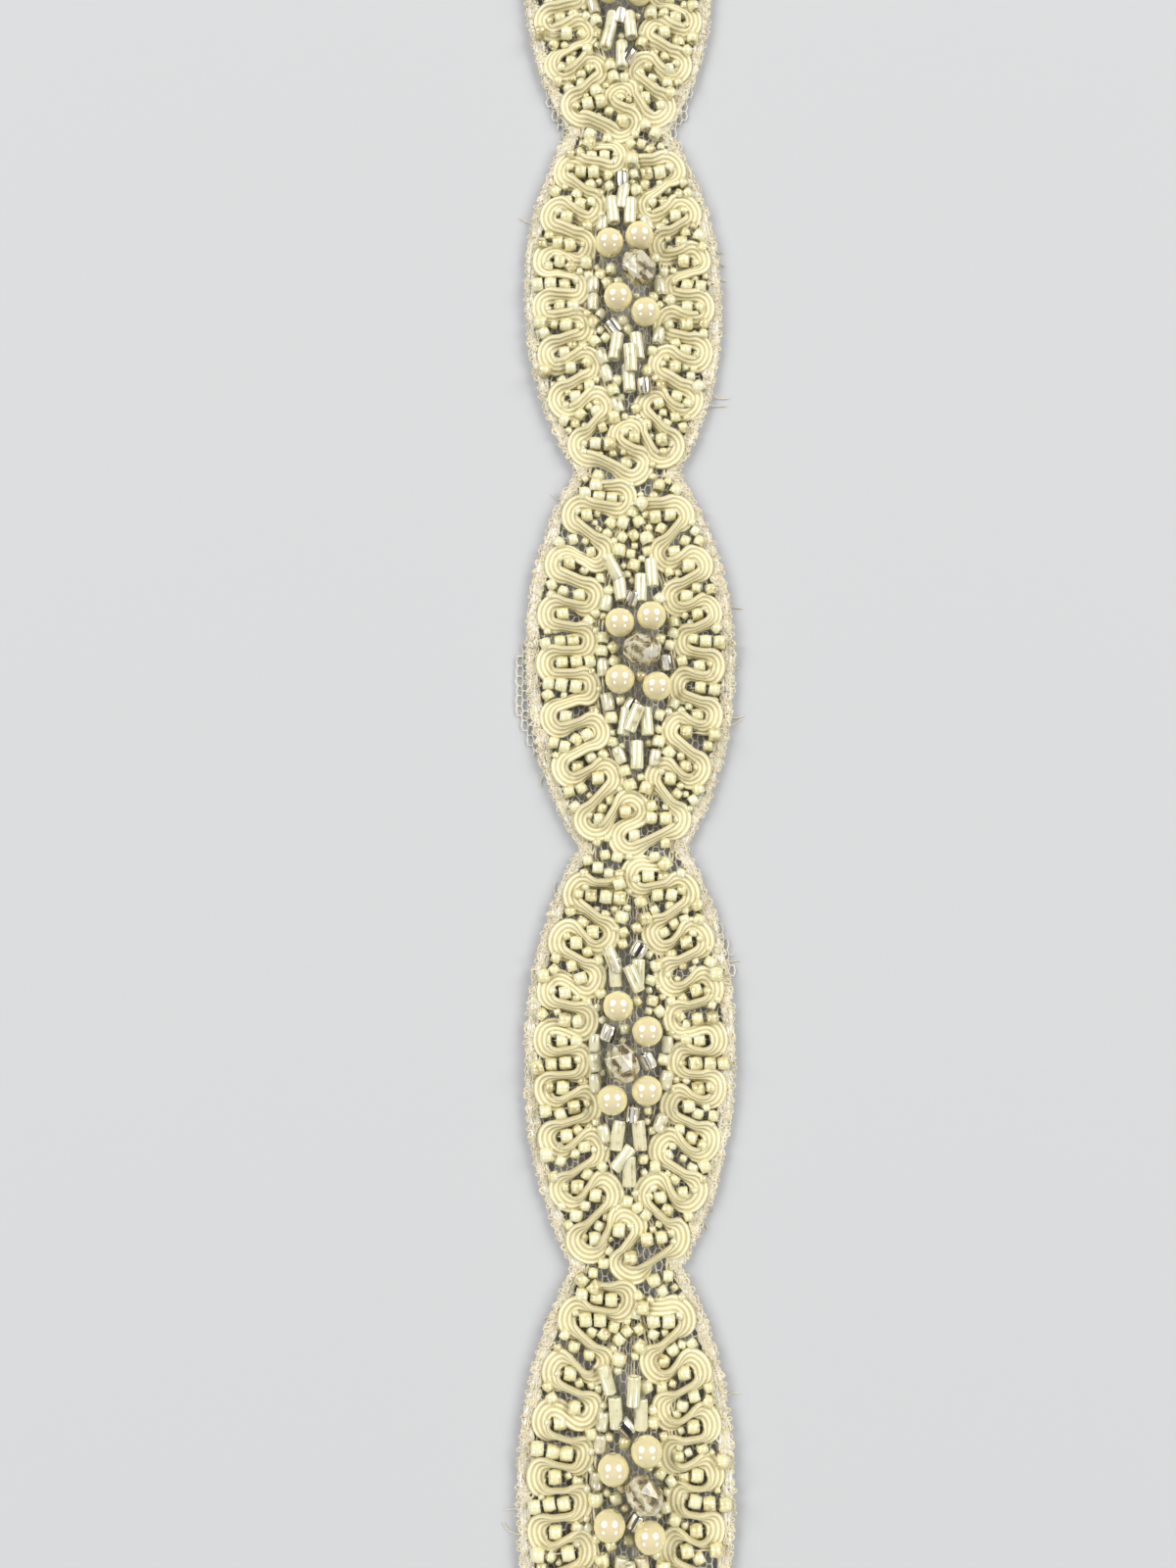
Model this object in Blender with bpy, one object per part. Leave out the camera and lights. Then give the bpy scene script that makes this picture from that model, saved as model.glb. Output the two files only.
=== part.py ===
"""Beaded bridal trim: five pointed-oval medallions in a chain, sewn on a net ground.

The trim lies flat along Y with its right side up. The net's underside is at z = 0.
All sizes are in metres.
"""

import math
import random
from collections import namedtuple

import bmesh
import bpy

# Net ground
NET_THICKNESS = 0.0010
NET_MARGIN = 0.0004
NET_STEP = 0.0034
OUTLINE_POWER = 2.2

# Gap that sewn-on pieces keep from the net and from each other
GAP = 0.0003
TOP_OF_NET = NET_THICKNESS + GAP

# Chain-stitched edging
EDGING_WIDTH = 0.0009
EDGING_HEIGHT = 0.0008
EDGING_STEP = 0.0040
EDGING_END = 0.0005

# Soutache braid
BRAID_WIDTH = 0.0020
BRAID_HEIGHT = 0.0014
BRAID_INSET = 0.00055
BEND_RADIUS = 0.0016
BEND_STEP = math.radians(60)
BEND_CLEARANCE = 0.0001
BEND_UNEVEN = 0.00022
# How far the inner bends are drawn towards the middle of the medallion, as a share
BEND_LEAN = 0.10
# First and last outer bend of a side, from the necks above and below
FIRST_BEND = 0.0065
LAST_BEND = 0.0038
# The curl and the plain tail at the top of a medallion, from the neck above
CURL_SIDE = 0.0017
CURL_DROP = 0.0040
TAIL_SIDE = 0.0019
TAIL_DROP = 0.0049
TAIL_RUN = 0.0026
# The last inner bend, from the neck below
CLOSING_SIDE = 0.0006
CLOSING_RISE = 0.0047

# Open field inside the lobes
FIELD_POWER = 1.3
FIELD_LEAST = 0.0003

# Beads
PEARL_DIAMETER = 0.0040
GLASS_DIAMETER = 0.0050
GLASS_LENGTH = 0.0042
GLASS_WAIST = 0.4
GLASS_END = 0.45
ROD_SIDES = 8
FLAT_SHARE = math.cos(math.pi / ROD_SIDES)
BUGLE_DIAMETER = 0.0019
BUGLE_LENGTH = 0.0040
BUGLE_UNEVEN = 0.0001
BUGLE_SWING = math.radians(3)

SEED = 7

# The narrow places between the medallions, from the top end to the bottom end: place along the
# trim, middle line sideways, half width, and where the turn of the braid above lies from there
Neck = namedtuple("Neck", "y middle half_width turn_x turn_y")
NECKS = (
    Neck(0.1312, -0.0003, 0.0069, 0.0, 0.0),
    Neck(0.0813, -0.0005, 0.0070, 0.0000, 0.0014),
    Neck(0.0308, 0.0005, 0.0069, 0.0003, 0.0012),
    Neck(-0.0215, 0.0011, 0.0070, -0.0002, 0.0014),
    Neck(-0.0761, 0.0002, 0.0069, 0.0008, 0.0012),
    Neck(-0.1312, -0.0002, 0.0069, 0.0003, 0.0033),
)

# The medallions between them: half widths left and right of the middle line, lobes of braid on
# each side, middle and half width of the open field that the lobes leave, the side (-1 left,
# 1 right) on which the braid starts with a curl, and the side (0 none) of its last inner bend
Medallion = namedtuple("Medallion", "left right lobes_left lobes_right field_middle field_half curl closing")
MEDALLIONS = (
    Medallion(0.0134, 0.0133, 7, 7, 0.0005, 0.0057, -1, 1),
    Medallion(0.0135, 0.0136, 7, 7, 0.0006, 0.0058, -1, 1),
    Medallion(0.0139, 0.0140, 7, 7, 0.0009, 0.0056, -1, -1),
    Medallion(0.0136, 0.0136, 8, 8, 0.0002, 0.0058, 1, -1),
    Medallion(0.0136, 0.0135, 8, 8, 0.0009, 0.0058, -1, 0),
)

# Where the net was trimmed wide of the edging: side, place, half length, how far it stands out
Spill = namedtuple("Spill", "side y half_length reach")
SPILLS = (
    Spill(-1, -0.0013, 0.0105, 0.0019),
    Spill(1, -0.0353, 0.0060, 0.0010),
    Spill(1, 0.0828, 0.0058, 0.0011),
    Spill(-1, 0.0832, 0.0050, 0.0011),
)

# Each medallion's beads, measured from the middle of its field: four pearls and a glass bead
Pearls = namedtuple("Pearls", "upper_left upper_right lower_left lower_right")
PEARLS = (
    Pearls((-0.0021, 0.0047), (0.0023, 0.0052), (-0.0020, -0.0042), (0.0024, -0.0046)),
    Pearls((-0.0025, 0.0073), (0.0017, 0.0083), (-0.0013, -0.0007), (0.0025, -0.0029)),
    Pearls((-0.0023, 0.0042), (0.0020, 0.0051), (-0.0023, -0.0036), (0.0027, -0.0046)),
    Pearls((-0.0018, 0.0062), (0.0020, 0.0029), (-0.0026, -0.0059), (0.0019, -0.0047)),
    Pearls((-0.0026, 0.0032), (0.0016, 0.0054), (-0.0031, -0.0035), (0.0020, -0.0049)),
)
GlassBead = namedtuple("GlassBead", "x y turn")
GLASS_BEADS = (
    GlassBead(0.0003, 0.0003, 70),
    GlassBead(0.0015, 0.0035, 35),
    GlassBead(0.0007, 0.0004, 80),
    GlassBead(-0.0013, -0.0012, 15),
    GlassBead(0.0012, 0.0002, 45),
)

# Bugle beads of every medallion: sideways place as a share of the field's half width there,
# distance past the nearest pearls, turn in degrees
Bugle = namedtuple("Bugle", "share past turn")
BUGLES_ABOVE = (
    Bugle(-0.49, 0.0044, 6),
    Bugle(0.17, 0.0042, -2),
)
BUGLES_BELOW = (
    Bugle(-0.36, 0.0046, -12),
    Bugle(0.24, 0.0046, 8),
    Bugle(-0.03, 0.0092, 2),
)

Bend = namedtuple("Bend", "x y radius turn")


def clear_scene():
    for old in list(bpy.data.objects):
        bpy.data.objects.remove(old, do_unlink=True)


def make_material(name, colour, roughness, metallic=0.0):
    material = bpy.data.materials.new(name)
    material.use_nodes = True
    shader = material.node_tree.nodes["Principled BSDF"]
    shader.inputs["Base Color"].default_value = (*colour, 1.0)
    shader.inputs["Roughness"].default_value = roughness
    shader.inputs["Metallic"].default_value = metallic
    return material


def add_object(name, mesh, material, location=(0.0, 0.0, 0.0), turn=0.0):
    item = bpy.data.objects.new(name, mesh)
    item.location = location
    item.rotation_euler = (0.0, 0.0, turn)
    bpy.context.collection.objects.link(item)
    if not mesh.materials:
        mesh.materials.append(material)
    return item


def mesh_from_bmesh(name, shape):
    bmesh.ops.recalc_face_normals(shape, faces=shape.faces)
    mesh = bpy.data.meshes.new(name)
    shape.to_mesh(mesh)
    shape.free()
    return mesh


def mix(low, high, share):
    return low + (high - low) * share


# Outline of the trim

def place_in_chain(y):
    """The medallion that y lies in, and the share of its length above y."""
    for index in range(len(MEDALLIONS)):
        top, bottom = NECKS[index], NECKS[index + 1]
        if y >= bottom.y or index == len(MEDALLIONS) - 1:
            share = (top.y - y) / (top.y - bottom.y)
            return index, min(max(share, 0.0), 1.0)
    return 0, 0.0


def middle_line(y):
    index, share = place_in_chain(y)
    return mix(NECKS[index].middle, NECKS[index + 1].middle, share)


def edge(side, y):
    """Sideways place of the edging's outer line."""
    index, share = place_in_chain(y)
    medallion = MEDALLIONS[index]
    widest = medallion.left if side < 0 else medallion.right
    narrow = mix(NECKS[index].half_width, NECKS[index + 1].half_width, share)
    fullness = 1.0 - abs(2.0 * share - 1.0) ** OUTLINE_POWER
    return middle_line(y) + side * mix(narrow, widest, fullness)


def field_edge(side, y):
    """Sideways place of the line that the inner bends of the braid reach."""
    index, share = place_in_chain(y)
    medallion = MEDALLIONS[index]
    half = medallion.field_half * math.sin(math.pi * share) ** FIELD_POWER
    return middle_line(y) + medallion.field_middle + side * max(half, FIELD_LEAST)


def net_edge(side, y):
    """Sideways place of the net's cut edge."""
    stand_out = NET_MARGIN
    for spill in SPILLS:
        away = abs(y - spill.y) / spill.half_length
        if spill.side == side and away < 1.0:
            stand_out += spill.reach * math.cos(0.5 * math.pi * away)
    return edge(side, y) + side * stand_out


def stations(step):
    """Places along the trim, about one step apart, with every neck among them."""
    places = []
    for above, below in zip(NECKS, NECKS[1:]):
        count = math.ceil((above.y - below.y) / step)
        places += [mix(above.y, below.y, number / count) for number in range(count)]
    return places + [NECKS[-1].y]


# Pieces of cloth and thread

def build_net(material):
    """The net ground: one flat sheet with the trim's scalloped outline."""
    rows = stations(NET_STEP)
    shape = bmesh.new()
    left = [shape.verts.new((net_edge(-1, y), y, 0.0)) for y in rows]
    right = [shape.verts.new((net_edge(1, y), y, 0.0)) for y in rows]
    strips = []
    for row in range(len(rows) - 1):
        strips.append(shape.faces.new((left[row], left[row + 1], right[row + 1], right[row])))
    lifted = bmesh.ops.extrude_face_region(shape, geom=strips)
    top = [part for part in lifted["geom"] if isinstance(part, bmesh.types.BMVert)]
    bmesh.ops.translate(shape, verts=top, vec=(0.0, 0.0, NET_THICKNESS))
    return add_object("net_ground", mesh_from_bmesh("net_ground", shape), material)


def sweep(name, line, width, height, floor):
    """A flat band of the given section that follows a level line of (x, y, heading)."""
    shape = bmesh.new()
    rings = []
    for x, y, heading in line:
        across = (-math.sin(heading) * width / 2, math.cos(heading) * width / 2)
        corners = ((-1, floor), (1, floor), (1, floor + height), (-1, floor + height))
        rings.append([shape.verts.new((x + s * across[0], y + s * across[1], z)) for s, z in corners])
    for near, far in zip(rings, rings[1:]):
        for k in range(4):
            shape.faces.new((near[k], near[(k + 1) % 4], far[(k + 1) % 4], far[k]))
    shape.faces.new(rings[0])
    shape.faces.new(rings[-1])
    return mesh_from_bmesh(name, shape)


def build_edging(name, side, material):
    """The chain-stitched edging along one side."""
    inset = side * EDGING_WIDTH / 2
    rows = stations(EDGING_STEP)
    rows[0] -= EDGING_END
    rows[-1] += EDGING_END
    points = [(edge(side, y) - inset, y) for y in rows]
    line = []
    for number, (x, y) in enumerate(points):
        before = points[max(number - 1, 0)]
        after = points[min(number + 1, len(points) - 1)]
        line.append((x, y, math.atan2(after[1] - before[1], after[0] - before[0])))
    mesh = sweep(name, line, EDGING_WIDTH, EDGING_HEIGHT, TOP_OF_NET)
    return add_object(name, mesh, material)


def side_bends(side, index, random_source):
    """The outer and inner bends of one side, from the top of the medallion down."""
    medallion = MEDALLIONS[index]
    lobes = medallion.lobes_left if side < 0 else medallion.lobes_right
    top = NECKS[index].y - FIRST_BEND
    bottom = NECKS[index + 1].y + LAST_BEND
    centre = (NECKS[index].y + NECKS[index + 1].y) / 2
    reach = BRAID_WIDTH / 2 + BEND_RADIUS
    inset = BRAID_INSET + EDGING_WIDTH + reach
    outer = []
    for number in range(lobes):
        y = mix(top, bottom, number / (lobes - 1))
        if 0 < number < lobes - 1:
            y += random_source.uniform(-1, 1) * BEND_UNEVEN
        x = edge(side, y) - side * (inset + random_source.random() * BEND_UNEVEN)
        outer.append(Bend(x, y, BEND_RADIUS, 1))
    bends = [outer[0]]
    for above, below in zip(outer, outer[1:]):
        y = (above.y + below.y) / 2
        y += BEND_LEAN * (centre - y)
        out = side * (field_edge(side, y) + side * reach)
        for outer_bend in (above, below):
            level = (2 * BEND_RADIUS + BEND_CLEARANCE) ** 2 - (y - outer_bend.y) ** 2
            if level > 0.0:
                out = min(out, side * outer_bend.x - math.sqrt(level))
        bends.append(Bend(side * out, y, BEND_RADIUS, -1))
        bends.append(below)
    return bends


def start_of_side(side, index):
    """The braid's end under the neck: a plain tail, or a curl on one side of each medallion."""
    top = NECKS[index]
    if side != MEDALLIONS[index].curl:
        return [Bend(top.middle + side * TAIL_SIDE, top.y - TAIL_DROP, 0.0, 1)]
    curl = Bend(top.middle + side * CURL_SIDE, top.y - CURL_DROP, BEND_RADIUS, -1)
    tail = Bend(curl.x + side * TAIL_RUN, curl.y + BEND_RADIUS, 0.0, 1)
    return [tail, curl]


def braid_bends(index, random_source):
    """All bends of one medallion's braid: down the left side, round the turn, up the right."""
    bottom = NECKS[index + 1]
    closing = MEDALLIONS[index].closing
    turn = Bend(bottom.middle + bottom.turn_x, bottom.y + bottom.turn_y, BEND_RADIUS, 1)
    inner = Bend(bottom.middle + closing * CLOSING_SIDE, bottom.y + CLOSING_RISE, BEND_RADIUS, -1)
    last = {-1: [inner, turn], 0: [turn], 1: [turn, inner]}[closing]
    down = start_of_side(-1, index) + side_bends(-1, index, random_source)
    up = start_of_side(1, index) + side_bends(1, index, random_source)
    return [*down, *last, *up[::-1]]


def tangent_heading(first, second):
    """Heading of the straight run that leaves one bend and meets the next."""
    distance = math.hypot(second.x - first.x, second.y - first.y)
    aside = first.turn * first.radius - second.turn * second.radius
    along = math.sqrt(distance ** 2 - aside ** 2)
    return math.atan2(second.y - first.y, second.x - first.x) + math.atan2(aside, along)


def on_bend(bend, heading):
    aside = bend.turn * bend.radius
    return (bend.x + aside * math.sin(heading), bend.y - aside * math.cos(heading), heading)


def braid_line(bends):
    """The braid's middle line: arcs round the bends, with straight runs between them."""
    line = []
    heading_in = tangent_heading(bends[0], bends[1])
    line.append((bends[0].x, bends[0].y, heading_in))
    for bend, following in zip(bends[1:-1], bends[2:]):
        heading_out = tangent_heading(bend, following)
        swept = (bend.turn * (heading_out - heading_in)) % (2 * math.pi)
        steps = max(2, math.ceil(swept / BEND_STEP))
        for step in range(steps + 1):
            line.append(on_bend(bend, heading_in + bend.turn * swept * step / steps))
        heading_in = heading_out
    line.append((bends[-1].x, bends[-1].y, heading_in))
    return line


def build_braid(index, random_source, material):
    name = f"braid_{index + 1}"
    line = braid_line(braid_bends(index, random_source))
    mesh = sweep(name, line, BRAID_WIDTH, BRAID_HEIGHT, TOP_OF_NET)
    return add_object(name, mesh, material)


# Beads

def pearl_mesh(material):
    shape = bmesh.new()
    bmesh.ops.create_uvsphere(shape, u_segments=8, v_segments=5, radius=PEARL_DIAMETER / 2)
    mesh = mesh_from_bmesh("pearl", shape)
    mesh.shade_smooth()
    mesh.materials.append(material)
    return mesh


def rod_mesh(name, rings, material):
    """A bead along its own Y axis, turned from (place, radius) rings, with a flat underneath."""
    shape = bmesh.new()
    loops = []
    for place, radius in rings:
        loop = []
        for number in range(ROD_SIDES):
            angle = 2 * math.pi * (number + 0.5) / ROD_SIDES
            loop.append(shape.verts.new((radius * math.cos(angle), place, radius * math.sin(angle))))
        loops.append(loop)
    for near, far in zip(loops, loops[1:]):
        for k in range(ROD_SIDES):
            following = (k + 1) % ROD_SIDES
            shape.faces.new((near[k], near[following], far[following], far[k]))
    shape.faces.new(loops[0])
    shape.faces.new(loops[-1])
    mesh = mesh_from_bmesh(name, shape)
    mesh.materials.append(material)
    return mesh


def glass_mesh(material):
    half = GLASS_LENGTH / 2
    radius = GLASS_DIAMETER / 2
    end = GLASS_END * radius
    waist = GLASS_WAIST * half
    return rod_mesh("glass_bead", ((-half, end), (-waist, radius), (waist, radius), (half, end)), material)


def bugle_mesh(material):
    half = BUGLE_LENGTH / 2
    radius = BUGLE_DIAMETER / 2
    return rod_mesh("bugle", ((-half, radius), (half, radius)), material)


def build_beads(index, meshes, random_source):
    """The beads in the middle of one medallion."""
    pearl, glass, bugle = meshes
    middle_y = (NECKS[index].y + NECKS[index + 1].y) / 2
    middle_x = middle_line(middle_y) + MEDALLIONS[index].field_middle
    pearls = PEARLS[index]
    for number, (x, y) in enumerate(pearls, start=1):
        place = (middle_x + x, middle_y + y, TOP_OF_NET + PEARL_DIAMETER / 2)
        add_object(f"pearl_{index + 1}_{number}", pearl, None, place)
    x, y, turn = GLASS_BEADS[index]
    place = (middle_x + x, middle_y + y, TOP_OF_NET + FLAT_SHARE * GLASS_DIAMETER / 2)
    add_object(f"glass_bead_{index + 1}", glass, None, place, math.radians(turn))
    highest = middle_y + max(pearls.upper_left[1], pearls.upper_right[1])
    lowest = middle_y + min(pearls.lower_left[1], pearls.lower_right[1])
    places = [(item, highest + item.past) for item in BUGLES_ABOVE]
    places += [(item, lowest - item.past) for item in BUGLES_BELOW]
    for number, (item, y) in enumerate(places, start=1):
        left, right = field_edge(-1, y), field_edge(1, y)
        x = mix(left, right, 0.5 + 0.5 * item.share)
        x += random_source.uniform(-1, 1) * BUGLE_UNEVEN
        turn = math.radians(item.turn) + random_source.uniform(-1, 1) * BUGLE_SWING
        place = (x, y, TOP_OF_NET + FLAT_SHARE * BUGLE_DIAMETER / 2)
        add_object(f"bugle_{index + 1}_{number}", bugle, None, place, turn)


def build_trim():
    clear_scene()
    thread = make_material("edging_thread", (0.84, 0.78, 0.63), 0.85)
    braid = make_material("rayon_braid", (0.80, 0.73, 0.47), 0.45)
    net = make_material("net", (0.86, 0.82, 0.68), 0.85)
    pearl = pearl_mesh(make_material("pearl", (0.86, 0.77, 0.55), 0.18))
    glass = glass_mesh(make_material("clear_glass", (0.82, 0.81, 0.74), 0.05))
    bugle = bugle_mesh(make_material("satin_glass", (0.85, 0.80, 0.62), 0.20))
    random_source = random.Random(SEED)
    build_net(net)
    build_edging("edging_left", -1, thread)
    build_edging("edging_right", 1, thread)
    for index in range(len(MEDALLIONS)):
        build_braid(index, random_source, braid)
        build_beads(index, (pearl, glass, bugle), random_source)


build_trim()
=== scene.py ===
import math
import random
from collections import namedtuple

import bmesh
import bpy
from mathutils import Matrix, Vector, kdtree, noise


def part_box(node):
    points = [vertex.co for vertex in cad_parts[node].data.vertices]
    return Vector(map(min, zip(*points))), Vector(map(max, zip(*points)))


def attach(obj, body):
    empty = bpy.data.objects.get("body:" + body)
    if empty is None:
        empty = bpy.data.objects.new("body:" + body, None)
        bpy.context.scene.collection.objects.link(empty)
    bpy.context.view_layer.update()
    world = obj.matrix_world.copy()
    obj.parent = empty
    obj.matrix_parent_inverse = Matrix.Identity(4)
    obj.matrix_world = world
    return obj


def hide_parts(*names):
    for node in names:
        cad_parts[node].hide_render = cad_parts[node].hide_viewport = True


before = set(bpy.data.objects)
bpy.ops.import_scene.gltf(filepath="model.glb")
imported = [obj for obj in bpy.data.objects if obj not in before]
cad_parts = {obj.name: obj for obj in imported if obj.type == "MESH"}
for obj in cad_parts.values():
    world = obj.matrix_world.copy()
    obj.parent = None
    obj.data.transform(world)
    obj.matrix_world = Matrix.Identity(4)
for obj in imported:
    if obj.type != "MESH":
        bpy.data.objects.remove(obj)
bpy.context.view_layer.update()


class Wire:
    # an output of a node; sums and products of wires add their own Math nodes
    def __init__(self, graph, socket):
        self.graph = graph
        self.socket = socket

    def other(self, name):
        return Wire(self.graph, self.socket.node.outputs[name])

    def __add__(self, item):
        return self.graph.maths("ADD", self, item)

    def __radd__(self, item):
        return self.graph.maths("ADD", item, self)

    def __sub__(self, item):
        return self.graph.maths("SUBTRACT", self, item)

    def __rsub__(self, item):
        return self.graph.maths("SUBTRACT", item, self)

    def __mul__(self, item):
        return self.graph.maths("MULTIPLY", self, item)

    def __rmul__(self, item):
        return self.graph.maths("MULTIPLY", item, self)

    def __truediv__(self, item):
        return self.graph.maths("DIVIDE", self, item)

    def __mod__(self, item):
        return self.graph.maths("FLOORED_MODULO", self, item)

    def __pow__(self, item):
        return self.graph.maths("POWER", self, item)

    def __abs__(self):
        return self.graph.maths("ABSOLUTE", self)


class Graph:
    def __init__(self, tree):
        self.tree = tree

    def node(self, kind, settings=None, values=None, output=0):
        made = self.tree.nodes.new(kind)
        for key, value in (settings or {}).items():
            if key == "stops":
                self.fillRamp(made.color_ramp, value)
            else:
                setattr(made, key, value)
        for key, value in (values or {}).items():
            if isinstance(value, Wire):
                self.tree.links.new(value.socket, made.inputs[key])
            else:
                made.inputs[key].default_value = value
        return Wire(self, made.outputs[output]) if made.outputs else None

    def fillRamp(self, ramp, stops):
        while len(ramp.elements) < len(stops):
            ramp.elements.new(1.0)
        for element, (place, colour) in zip(ramp.elements, stops):
            element.position = place
            element.color = (*colour, 1.0)

    def maths(self, operation, *items):
        return self.node("ShaderNodeMath", {"operation": operation}, dict(enumerate(items)))

    def xyz(self, x, y, z):
        return self.node("ShaderNodeCombineXYZ", values={"X": x, "Y": y, "Z": z})

    def attribute(self, name):
        return self.node("ShaderNodeAttribute", {"attribute_name": name}, output="Fac")


class ShapeGraph(Graph):
    def __init__(self, name, inputs):
        super().__init__(bpy.data.node_groups.new(name, "GeometryNodeTree"))
        self.socketIds = {}
        self.tree.interface.new_socket("Geometry", in_out="INPUT", socket_type="NodeSocketGeometry")
        self.tree.interface.new_socket("Geometry", in_out="OUTPUT", socket_type="NodeSocketGeometry")
        for label, value in inputs.items():
            kind = "NodeSocketInt" if isinstance(value, int) else "NodeSocketFloat"
            socket = self.tree.interface.new_socket(label, in_out="INPUT", socket_type=kind)
            socket.default_value = value
            self.socketIds[label] = socket.identifier
        self.given = self.node("NodeGroupInput")

    def __getitem__(self, label):
        return self.given.other(label)

    def named(self, name, kind="FLOAT"):
        return self.node("GeometryNodeInputNamedAttribute", {"data_type": kind}, {"Name": name})

    def store(self, geometry, name, value):
        return self.node("GeometryNodeStoreNamedAttribute", {"data_type": "FLOAT", "domain": "POINT"},
                         {"Geometry": geometry, "Name": name, "Value": value})

    def place(self, geometry, **values):
        return self.node("GeometryNodeSetPosition", values={"Geometry": geometry, **values})

    def circle(self, sides, radius):
        return self.node("GeometryNodeCurvePrimitiveCircle",
                         values={"Resolution": sides, "Radius": radius})

    def upright(self, curve):
        return self.node("GeometryNodeSetCurveNormal", {"mode": "Z_UP"}, {"Curve": curve})

    def curve(self, mesh):
        return self.upright(self.node("GeometryNodeMeshToCurve", values={"Mesh": mesh}))

    def spot(self):
        return self.node("ShaderNodeSeparateXYZ", values={0: self.node("GeometryNodeInputPosition")})

    def onPoints(self, points, instance, **values):
        return self.node("GeometryNodeInstanceOnPoints",
                         values={"Points": points, "Instance": instance, **values})

    def sweep(self, curve, section):
        return self.node("GeometryNodeCurveToMesh",
                         values={"Curve": curve, "Profile Curve": section, "Fill Caps": True})

    def finish(self, geometry, material):
        made = self.node("GeometryNodeRealizeInstances", values={"Geometry": geometry})
        made = self.node("GeometryNodeSetShadeSmooth", values={"Geometry": made, "Shade Smooth": True})
        made = self.node("GeometryNodeSetMaterial", values={"Geometry": made, "Material": material})
        self.node("NodeGroupOutput", values={0: made})
        return self


def addObject(name, data):
    made = bpy.data.objects.new(name, data)
    bpy.context.scene.collection.objects.link(made)
    return made


def meshFrom(shape, name):
    mesh = bpy.data.meshes.new(name)
    shape.to_mesh(mesh)
    shape.free()
    return mesh


def grow(graph, name, mesh, sizes):
    # runs a tree on a mesh of points and lines, and keeps the plain mesh that comes out
    piece = addObject(name, mesh)
    modifier = piece.modifiers.new(name, "NODES")
    modifier.node_group = graph.tree
    for label, value in sizes.items():
        modifier[graph.socketIds[label]] = value
    seen = piece.evaluated_get(bpy.context.evaluated_depsgraph_get())
    grown = bpy.data.meshes.new_from_object(seen)
    piece.modifiers.remove(modifier)
    piece.data = grown
    grown.name = name
    return piece


def lineMesh(name, lines, **values):
    # polylines as vertices and edges; each value is one number per point, line after line
    points = [point for line in lines for point in line]
    edges = []
    start = 0
    for line in lines:
        edges += [(start + k, start + k + 1) for k in range(len(line) - 1)]
        start += len(line)
    mesh = bpy.data.meshes.new(name)
    mesh.from_pydata(points, edges, [])
    for label, numbers in values.items():
        mesh.attributes.new(label, "FLOAT", "POINT").data.foreach_set("value", numbers)
    return mesh


def growThreads(graph, name, lines, radius, sides=4):
    return grow(graph, name, lineMesh(name, lines), {"Radius": radius, "Sides": sides})


def joined(first, *others):
    shape = bmesh.new()
    shape.from_mesh(first.data)
    for other in others:
        shape.from_mesh(other.data)
        bpy.data.objects.remove(other)
    shape.to_mesh(first.data)
    shape.free()
    return first


def settle(piece, slotName, *nodes):
    # every finished piece goes through here
    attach(piece, "root")
    if nodes:
        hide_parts(*nodes)
    piece.data.calc_loop_triangles()
    print(f"{piece.name}: {len(piece.data.loop_triangles)} triangles")


# The narrow places between the medallions, top end first: place, middle line, half width, and
# where the turn of the braid above lies from there
Neck = namedtuple("Neck", "y middle halfWidth turnX turnY")
necks = (
    Neck(0.1312, -0.0003, 0.0069, 0.0, 0.0),
    Neck(0.0813, -0.0005, 0.0070, 0.0, 0.0014),
    Neck(0.0308, 0.0005, 0.0069, 0.0003, 0.0012),
    Neck(-0.0215, 0.0011, 0.0070, -0.0002, 0.0014),
    Neck(-0.0761, 0.0002, 0.0069, 0.0008, 0.0012),
    Neck(-0.1312, -0.0002, 0.0069, 0.0003, 0.0033),
)

# Half widths, lobes of braid on each side, the open field, and the sides (-1 left, 1 right) of
# the braid's first curl and of its last inner bend
Medallion = namedtuple("Medallion", "left right lobesLeft lobesRight fieldMiddle fieldHalf curl closing")
medallions = (
    Medallion(0.0134, 0.0133, 7, 7, 0.0005, 0.0057, -1, 1),
    Medallion(0.0135, 0.0136, 7, 7, 0.0006, 0.0058, -1, 1),
    Medallion(0.0139, 0.0140, 7, 7, 0.0009, 0.0056, -1, -1),
    Medallion(0.0136, 0.0136, 8, 8, 0.0002, 0.0058, 1, -1),
    Medallion(0.0136, 0.0135, 8, 8, 0.0009, 0.0058, -1, 0),
)

# Where the net was trimmed wide of the edging: side, place, half length, how far it stands out
Spill = namedtuple("Spill", "side y halfLength reach")
spills = (
    Spill(-1, -0.0013, 0.0105, 0.0019),
    Spill(1, -0.0353, 0.0060, 0.0010),
    Spill(1, 0.0828, 0.0058, 0.0011),
    Spill(-1, 0.0832, 0.0050, 0.0011),
)

outline = {
    "fullness": 2.2,        # power of the pointed oval
    "fieldFullness": 1.3,
    "fieldLeast": 0.0003,
    "netMargin": 0.0004,
    "edgingWidth": 0.0009,
}


def mix(low, high, share):
    return low + (high - low) * share


def smoothStep(share):
    share = min(max(share, 0.0), 1.0)
    return share * share * (3 - 2 * share)


def spread(source, reach):
    return source.uniform(-1, 1) * reach


def ripple(x, y, z):
    return noise.noise(Vector((x, y, z)))


def placeInChain(y):
    for index in range(len(medallions)):
        top, bottom = necks[index], necks[index + 1]
        if y >= bottom.y or index == len(medallions) - 1:
            return index, min(max((top.y - y) / (top.y - bottom.y), 0.0), 1.0)


def middleLine(y):
    index, share = placeInChain(y)
    return mix(necks[index].middle, necks[index + 1].middle, share)


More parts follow.
